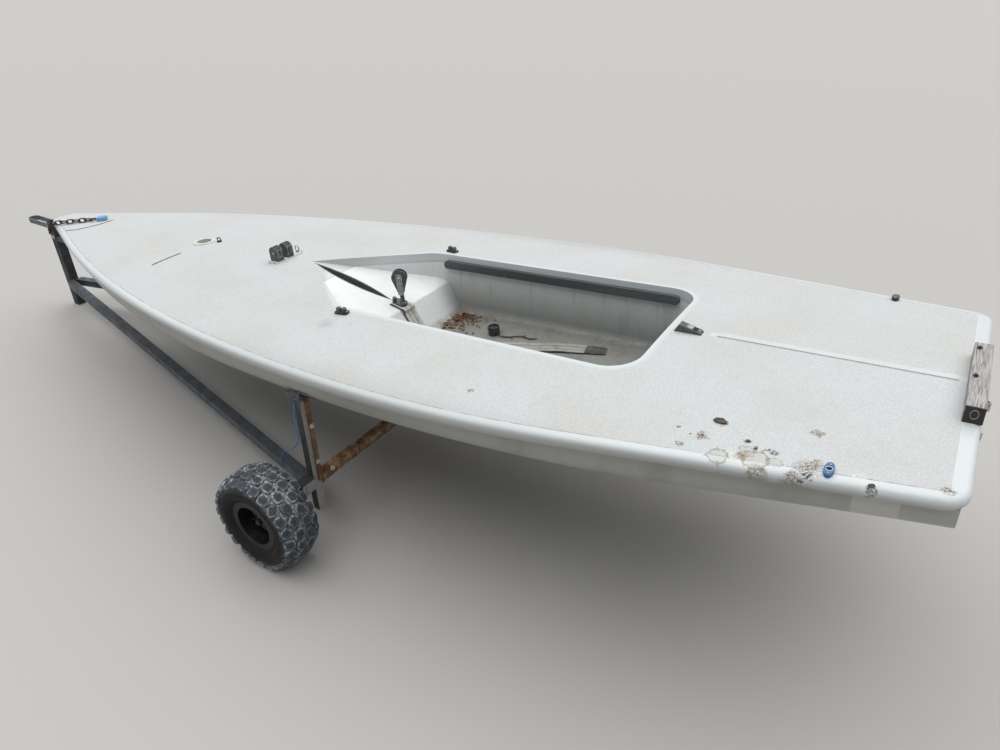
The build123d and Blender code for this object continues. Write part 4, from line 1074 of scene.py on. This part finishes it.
def make_tyre(side, name, centre):
    """A hollow carcass with worn tread blocks standing on it."""
    crown = TYRE_RADIUS - LUG_HEIGHT
    half_profile = [(crown - drop, share * TYRE_WIDTH / 2) for drop, share in CARCASS]
    whole = [(r, -w) for r, w in reversed(half_profile)] + half_profile[1:]
    profile = whole + [(r - 0.004, w * 0.93) for r, w in reversed(whole)]
    bm = bmesh.new()
    worn = bm.verts.layers.float.new("worn")
    dark = bm.verts.layers.float.new("sidewall")
    columns = [[centre + Vector((r * cos(a), w, r * sin(a))) for r, w in profile]
               for a in circle(TYRE_SIDES)]
    for column in rings(bm, columns, looped=True):
        for vertex, (radius, _) in zip(column, profile):
            out = min(1.0, max(0.0, (crown - 0.020 - radius) / 0.012))
            vertex[dark] = out
            vertex[worn] = 0.85 * (1 - out)
    local = random.Random(11)
    for share, drop, tilt, width, length, stagger in LUG_ROWS:
        seat = shift(TYRE_RADIUS - drop, side * share * TYRE_WIDTH, 0) @ turned(-side * tilt)
        for index in range(LUG_COUNT):
            angle = tau * (index + stagger) / LUG_COUNT + local.uniform(-0.012, 0.012)
            place = Matrix.Translation(centre) @ Matrix.Rotation(-angle, 4, "Y") @ seat
            across, around = width * local.uniform(0.88, 1.04), length * local.uniform(0.88, 1.04)
            outline = lug_outline(local, across, around)
            scraped = local.uniform(0.35, 1.25)
            rows = [[place @ Vector((height, scale * a, scale * b)) for a, b in outline]
                    for scale, height, _ in LUG_STEPS]
            for row, (_, _, wear) in zip(rings(bm, rows), LUG_STEPS):
                for vertex in row:
                    vertex[worn] = min(1.0, wear * scraped * local.uniform(0.4, 1.3))
    tyre = finish_piece(f"tyre_{name}_rubber", bm, "tyre", body=f"wheel_{name}", crease=50)
    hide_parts(f"tyre_{name}")


def make_wheel(side, name):
    """The tyre, ribs on its sidewall, a valve in the dish and the rim's paint."""
    low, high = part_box(f"tyre_{name}")
    centre = (low + high) / 2
    make_tyre(side, name, centre)
    outward = Matrix.Translation(centre) @ turned(-90 * side, "X")
    bm = bmesh.new()
    for radius, height in RIBS:
        hoop(bm, outward @ shift(0, 0, height), radius, 0.0011, count=72, sides=6)
    finish_piece(f"sidewall_ribs_{name}", bm, "black_plastic", body=f"wheel_{name}")
    bm = bmesh.new()
    lathe(bm, outward @ shift(0.052, 0.034, -0.018) @ turned(20, "Y"), VALVE, 14)
    finish_piece(f"valve_{name}", bm, "black_plastic", body=f"wheel_{name}")
    dress(f"rim_{name}", rim_finish(f"rim_finish_{name}", centre))


# Small fittings: places in the boat's own frame, and how high a fitting's face stands
SIDE_CLEAT_Y = 0.325
SIDE_CLEAT_TOP = 0.0071
BLOCK_PLATE_X = APEX_X + 0.140
BLOCK_PLATE_Y = 0.008
BLOCK_PLATE_TOP = 0.0041
FAIRLEAD_X = 0.265
FAIRLEAD_TOP = 0.0098
SHEET_PLATE_TOP = 0.0069
TRAVELLER_CLEAT_X = COCKPIT_AFT_X - 0.107
TRAVELLER_SLOPE = atan2(13.9, 47)
BLOCK_TURN = 32
BLOCK_FOOT = 0.042
CHEEK_OUT = 0.0146
CHEEK_UP = 0.044
STRAP_HOLES = (-0.024, -0.002, 0.014, 0.036)
TOOTH = ((-0.0009, -0.0004), (0.0011, -0.0004), (0.0004, 0.0016))
TOOTH_COUNT = 7
TOOTH_PITCH = 0.0022
TIMBER_BOLTS = ((0.020, -0.110), (0.020, 0.050))
BRACE_BOLT_HEIGHTS = (0.404, 0.256)
BEAM_BOLT = (0.545, 0.192)
POST_BOLT_DROPS = (0.020, 0.085)
# Places well astern of the boat and of the axle, from which the seats of screws are sought
ASTERN_X = -2.6
BEHIND_AXLE_X = -1.2


def make_deck_screws():
    """Screws through the side cleats and the block plate."""
    bm = bmesh.new()
    for side in (1, -1):
        seat = on_deck(RAMP_FOOT_X, side * SIDE_CLEAT_Y, side * 8)
        for x in (-0.021, 0.021):
            screw(bm, seat @ shift(x, 0, SIDE_CLEAT_TOP), 0.0032)
    plate = on_deck(BLOCK_PLATE_X, BLOCK_PLATE_Y)
    for y in (-0.066, 0.082):
        for x in (-0.016, 0.016):
            screw(bm, plate @ shift(x, y - BLOCK_PLATE_Y, BLOCK_PLATE_TOP), 0.0035)
    finish_piece("deck_screws", bm, "steel")


def make_block_straps():
    """Bright straps down both cheeks of the mainsheet block, with their pin and paired holes."""
    seat = aboard(SHEET_X - 0.018, 0, ramp_z(SHEET_X) + BLOCK_FOOT) @ turned(BLOCK_TURN)
    straps, holes = bmesh.new(), bmesh.new()
    for side in (1, -1):
        cheek = seat @ shift(0, side * CHEEK_OUT, CHEEK_UP) @ turned(-90 * side, "X")
        slab(straps, cheek, 0.0225, 0.084, 0.0012)
        screw(straps, cheek @ shift(0, -side * 0.027, 0.0012), 0.0050)
        for height in STRAP_HOLES:
            for across in (-0.0062, 0.0062):
                hole = cheek @ shift(across, -side * height, 0.0011)
                lathe(holes, hole, [(0.0022, 0.0), (0.0022, 0.0003), (0.0018, 0.0004)], 12)
    finish_piece("block_straps", straps, "pale_metal")
    finish_piece("block_strap_holes", holes, "black_plastic")


def make_turning_block_pins():
    """Axle pins through the turning blocks and bright guards on their aft faces."""
    blocks = "turning_blocks"
    low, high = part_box(blocks)
    bm = bmesh.new()
    middle_x, axle_z, astern = (low.x + high.x) / 2, low.z + 0.034, low.x - 0.3
    for side in (1, -1):
        screw(bm, seat_on(blocks, (middle_x, side, axle_z), (0, -side, 0)), 0.0055)
    for block_y in (low.y + 0.016, high.y - 0.016):
        for across in (-0.009, 0.009):
            slab(bm, seat_on(blocks, (astern, block_y + across, axle_z), (1, 0, 0)), 0.0034, 0.040, 0.0008)
        for height in (-0.014, 0.012):
            screw(bm, seat_on(blocks, (astern, block_y, axle_z + height), (1, 0, 0)), 0.0028)
    finish_piece("turning_block_pins", bm, "pale_metal")


def make_fitting_screws():
    """Screws and wear plates of the cleat, fairleads, sheet base and rudder fittings."""
    bm = bmesh.new()
    _, lead_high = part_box("fairleads")
    for side in (1, -1):
        seat = on_deck(FAIRLEAD_X, side * (lead_high.y - 0.022), 90)
        for x in (-0.0145, 0.0145):
            screw(bm, seat @ shift(x, 0, FAIRLEAD_TOP), 0.0030)
        hoop(bm, seat @ shift(0, 0, FAIRLEAD_TOP), 0.0072, 0.0012)
    cleat = on_deck(TRAVELLER_CLEAT_X, 0.012) @ shift(0.0034, 0, 0.0053)
    cleat = cleat @ Matrix.Rotation(-TRAVELLER_SLOPE, 4, "Y")
    slab(bm, cleat @ shift(0.036, 0, 0.0), 0.020, 0.018, 0.0010)
    screw(bm, cleat @ shift(0.0065, 0, 0.0), 0.0034)
    for y in (-0.0063, 0.0063):
        for x in (-0.022, 0.022):
            screw(bm, on_ramp(SHEET_X + x, y) @ shift(0, 0, SHEET_PLATE_TOP), 0.0030)
    low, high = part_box("gudgeons")
    for z in (low.z + 0.008, low.z + 0.026, high.z - 0.026, high.z - 0.008):
        for y in (-0.024, 0.024):
            screw(bm, seat_on("gudgeons", (ASTERN_X, y, z), (1, 0, 0)), 0.0032)
    finish_piece("fitting_screws", bm, "steel")
    bm = bmesh.new()
    for i in range(TOOTH_COUNT):
        tooth = cleat @ shift(0.0125 + TOOTH_PITCH * i, 0, 0.0)
        rings(bm, [[tooth @ Vector((x, y, z)) for x, z in TOOTH] for y in (-0.010, -0.003, 0.003, 0.010)])
    finish_piece("cleat_teeth", bm, "black_plastic")


def make_timber_fittings():
    """Two sunk bolts in the timber and an oval ring let into its end."""
    low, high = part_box("transom_timber")
    bm = bmesh.new()
    for x, y in TIMBER_BOLTS:
        seat = seat_on("transom_timber", aboard(x, y, 0.2).to_translation(), (0, 0, -1))
        slab(bm, seat @ shift(0, 0, -0.0002), 0.018, 0.008, 0.0010)
        bolt(bm, seat @ shift(0, 0, 0.0002), 0.0034)
    finish_piece("timber_bolts", bm, "dark_steel")
    bm = bmesh.new()
    beside = ((low.x + high.x) / 2, 0.5, (low.z + high.z) / 2 + 0.002)
    hoop(bm, seat_on("transom_timber", beside, (0, -1, 0)), 0.0115, 0.0010, 0.72)
    finish_piece("timber_end_ring", bm, "steel")


def make_trolley_bolts():
    """Bolts through the uprights and the front post."""
    bm = bmesh.new()
    _, brace_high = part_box("braces")
    beam_y, beam_z = BEAM_BOLT
    for side in (1, -1):
        for z in BRACE_BOLT_HEIGHTS:
            behind = (BEHIND_AXLE_X, side * (brace_high.y - 0.009), z)
            bolt(bm, seat_on("braces", behind, (1, 0, 0)), 0.0052, 0.003)
        bolt(bm, seat_on("axle_beam", (BEHIND_AXLE_X, side * beam_y, beam_z), (1, 0, 0)), 0.005, 0.002)
    middle = (post_low.x + post_high.x) / 2
    for drop in POST_BOLT_DROPS:
        for side in (1, -1):
            seat = facing((middle, side * post_high.y, post_high.z - drop), (0, side, 0))
            bolt(bm, seat, 0.006, 0.004 if side > 0 else 0.0)
    finish_piece("trolley_bolts", bm, "bolt")


def make_welds():
    """Lumpy weld beads where the trolley's bars meet."""
    bm = bmesh.new()
    _, bar_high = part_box("drawbar_port")
    arm_low, arm_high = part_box("bow_arm")
    beam_low, beam_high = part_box("axle_beam")
    beam_x, beam_z = (beam_low.x + beam_high.x) / 2, (beam_low.z + beam_high.z) / 2
    bead_radius = (beam_high.x - beam_low.x) / 2 + 0.001
    face_x, bar_z = post_low.x - 0.001, bar_high.z + 0.001
    for side in (1, -1):
        bead(bm, line_points((face_x, side * 0.004, bar_z), (face_x, side * 0.020, bar_z)), 0.0028, side)
        arm_y = side * 0.0212
        foot, head = (face_x, arm_y, arm_low.z + 0.002), (face_x, arm_y, arm_high.z - 0.002)
        bead(bm, line_points(foot, head), 0.0026, side)
        end_y = side * (beam_high.y - 0.001)
        arc = [Vector((beam_x + bead_radius * cos(a), end_y, beam_z + bead_radius * sin(a)))
               for a in [radians(60 + 200 * i / 30) for i in range(31)]]
        bead(bm, arc, 0.0028, side + 5)
    finish_piece("weld_beads", bm, "brown_rust")


# Loose dirt. Petals on the heap, and scraps on the deck by the port edge: x, y, size
PETALS = [(1.762, -0.226, 0.016), (1.751, -0.205, 0.012), (1.772, -0.190, 0.013)]
DECK_SCRAPS = [
    (0.526, 0.421, 0.020), (0.446, 0.469, 0.008), (0.425, 0.489, 0.006), (0.311, 0.558, 0.009),
    (0.178, 0.513, 0.011), (0.338, 0.549, 0.005), (0.576, 0.494, 0.003), (0.549, 0.488, 0.004),
]
BOW_STEM = [(3.918, 0.150), (3.876, 0.126), (3.846, 0.079), (3.832, 0.032), (3.828, -0.020), (3.838, -0.070)]
HEAP_X = WELL_WALL_X - 0.022
HEAP_Y = -0.238
HEAP_SPREAD = 0.033
STRAY_SPREAD = 0.095
SMALL_SCRAPS = 180
CLOSE_SCRAPS = 140
LARGE_SCRAPS = 16


def flake(bm, place, size, local):
    """A curled scrap of leaf."""
    corners = 7
    reach = [size * local.uniform(0.6, 1.0) for _ in range(corners)]
    curl = local.uniform(-0.35, 0.35)
    rows = []
    for share, lift in ((1.0, 0.0002), (1.0, 0.0009), (0.55, 0.0012)):
        row = []
        for out, a in zip(reach, circle(corners)):
            x, y = share * out * cos(a), 0.6 * share * out * sin(a)
            row.append(place @ Vector((x, y, lift + abs(curl) * abs(y) * 0.9 + 0.1 * abs(x))))
        rows.append(row)
    rings(bm, rows)


def tumbled(local, tilt):
    """Turned any way, and tilted by up to an angle in radians."""
    turn = Matrix.Rotation(local.uniform(0, tau), 4, "Z")
    return turn @ Matrix.Rotation(local.uniform(-tilt, tilt), 4, "X")


def make_scraps():
    """Dry leaf scraps blown into the corner of the well, with red petals, and dark bits on the deck."""
    local = random.Random(23)
    brown, red, dark = bmesh.new(), bmesh.new(), bmesh.new()
    for i in range(SMALL_SCRAPS):
        spread = HEAP_SPREAD if i < CLOSE_SCRAPS else STRAY_SPREAD
        x = HEAP_X - abs(local.gauss(0, spread))
        y = HEAP_Y + abs(local.gauss(0, 1.6 * spread))
        turn = tumbled(local, 0.25)
        place = aboard(x, y, -COCKPIT_DEPTH + 0.0012 + local.uniform(0, 0.004)) @ turn
        flake(red if i % 17 == 4 else brown, place, local.uniform(0.004, 0.010), local)
    for i in range(LARGE_SCRAPS):
        place = aboard(WELL_WALL_X - 0.012 - local.uniform(0, 0.035), -0.095 - local.uniform(0, 0.115),
                       -COCKPIT_DEPTH + 0.004 + local.uniform(0, 0.004))
        flake(brown, place @ tumbled(local, 0.3), local.uniform(0.010, 0.017), local)
    for x, y, size in PETALS:
        turn = Matrix.Rotation(local.uniform(0, tau), 4, "Z") @ Matrix.Rotation(0.35, 4, "X")
        flake(red, aboard(x, y, -COCKPIT_DEPTH + 0.0105) @ turn, size, local)
    for x, y, size in DECK_SCRAPS:
        flake(dark, on_deck(x, y, local.uniform(-8, 8)), size, local)
    finish_piece("deck_scraps", dark, "scrap")
    finish_piece("leaf_scraps", brown, "leaf")
    finish_piece("petal_scraps", red, "petal")


def stem_points(places, lift):
    """Points lying on the deck at these places."""
    return [aboard(x, y, deck_z(y) + lift).to_translation() for x, y in places]


def make_twigs():
    """A forked twig on the well's floor, and a straw and a thin stem on the foredeck."""
    bm = bmesh.new()
    points = []
    for share in [i / 25 for i in range(26)]:
        y = -0.118 - 0.040 * share + 0.006 * sin(9 * share)
        z = -COCKPIT_DEPTH + 0.0042 + 0.001 * sin(14 * share)
        points.append(aboard(1.530 - 0.150 * share, y, z).to_translation())
    bead(bm, points, 0.0030, 3)
    for i, bend in ((8, 0.9), (14, -0.7), (19, 0.5)):
        fork = [points[i] + Vector((-0.0016 * k, bend * 0.0013 * k, 0.0002 * k)) for k in range(12)]
        bead(bm, fork, 0.0016, i)
    finish_piece("twig", bm, "twig")
    bm = bmesh.new()
    shares = [i / 19 for i in range(20)]
    straw = [(2.997 - 0.004 * share + 0.003 * sin(3 * share), 0.290 - 0.146 * share) for share in shares]
    bead(bm, stem_points(straw, 0.0020), 0.0016, 9)
    stem = [Vector(first).lerp(Vector(second), k / 6) for first, second in zip(BOW_STEM, BOW_STEM[1:])
            for k in range(6)]
    bead(bm, stem_points(stem, 0.0018), 0.0013, 4)
    finish_piece("deck_straw", bm, "twig")


make_camera()
make_twine()
make_strap()
make_sling()
make_pads()
make_wheel(1, "port")
make_wheel(-1, "starboard")
make_deck_screws()
make_trolley_bolts()
make_block_straps()
make_turning_block_pins()
make_fitting_screws()
make_timber_fittings()
make_welds()
make_scraps()
make_twigs()


# Floor, light and world
FLOOR_HALF = 40.0
SUN_STRENGTH = 3.25
SUN_ANGLE = 100
SUN_TILT = 8
SUN_HEIGHT = 6
SKY_STRENGTH = 0.16


def make_stage():
    """A plain pale floor."""
    bm = bmesh.new()
    corners = ((-1, -1), (-1, 1), (1, 1), (1, -1))
    bm.faces.new([bm.verts.new((FLOOR_HALF * x, FLOOR_HALF * y, 0.0)) for x, y in corners])
    material = Finish("floor_finish", (186, 184, 181), 0.85).done()
    new_object("floor", new_mesh("floor", bm, material))


def make_light():
    """A wide soft sun, a faint sky, and a pale backdrop for what the camera and mirrors see."""
    world = bpy.data.worlds.new("world")
    world.use_nodes = True
    tree = world.node_tree
    sky = tree.nodes["Background"]
    sky.inputs["Color"].default_value = (0.93, 0.97, 1.0, 1.0)
    sky.inputs["Strength"].default_value = SKY_STRENGTH
    backdrop = tree.nodes.new("ShaderNodeBackground")
    backdrop.inputs["Color"].default_value = srgb(206, 206, 206)
    backdrop.inputs["Strength"].default_value = 1.0
    seen = tree.nodes.new("ShaderNodeLightPath")
    mix = tree.nodes.new("ShaderNodeMixShader")
    shown = seen.outputs["Is Camera Ray"]
    for other in ("Is Glossy Ray", "Is Transmission Ray"):
        either = tree.nodes.new("ShaderNodeMath")
        either.operation = "MAXIMUM"
        tree.links.new(shown, either.inputs[0])
        tree.links.new(seen.outputs[other], either.inputs[1])
        shown = either.outputs[0]
    tree.links.new(shown, mix.inputs[0])
    tree.links.new(sky.outputs[0], mix.inputs[1])
    tree.links.new(backdrop.outputs[0], mix.inputs[2])
    tree.links.new(mix.outputs[0], tree.nodes["World Output"].inputs["Surface"])
    bpy.context.scene.world = world
    data = bpy.data.lights.new("sky_light", "SUN")
    data.energy = SUN_STRENGTH
    data.angle = radians(SUN_ANGLE)
    light = new_object("sky_light", data)
    light.matrix_world = shift(0, 0, SUN_HEIGHT) @ turned(SUN_TILT, "X")


make_stage()
make_light()
bpy.context.scene.view_settings.view_transform = "Standard"
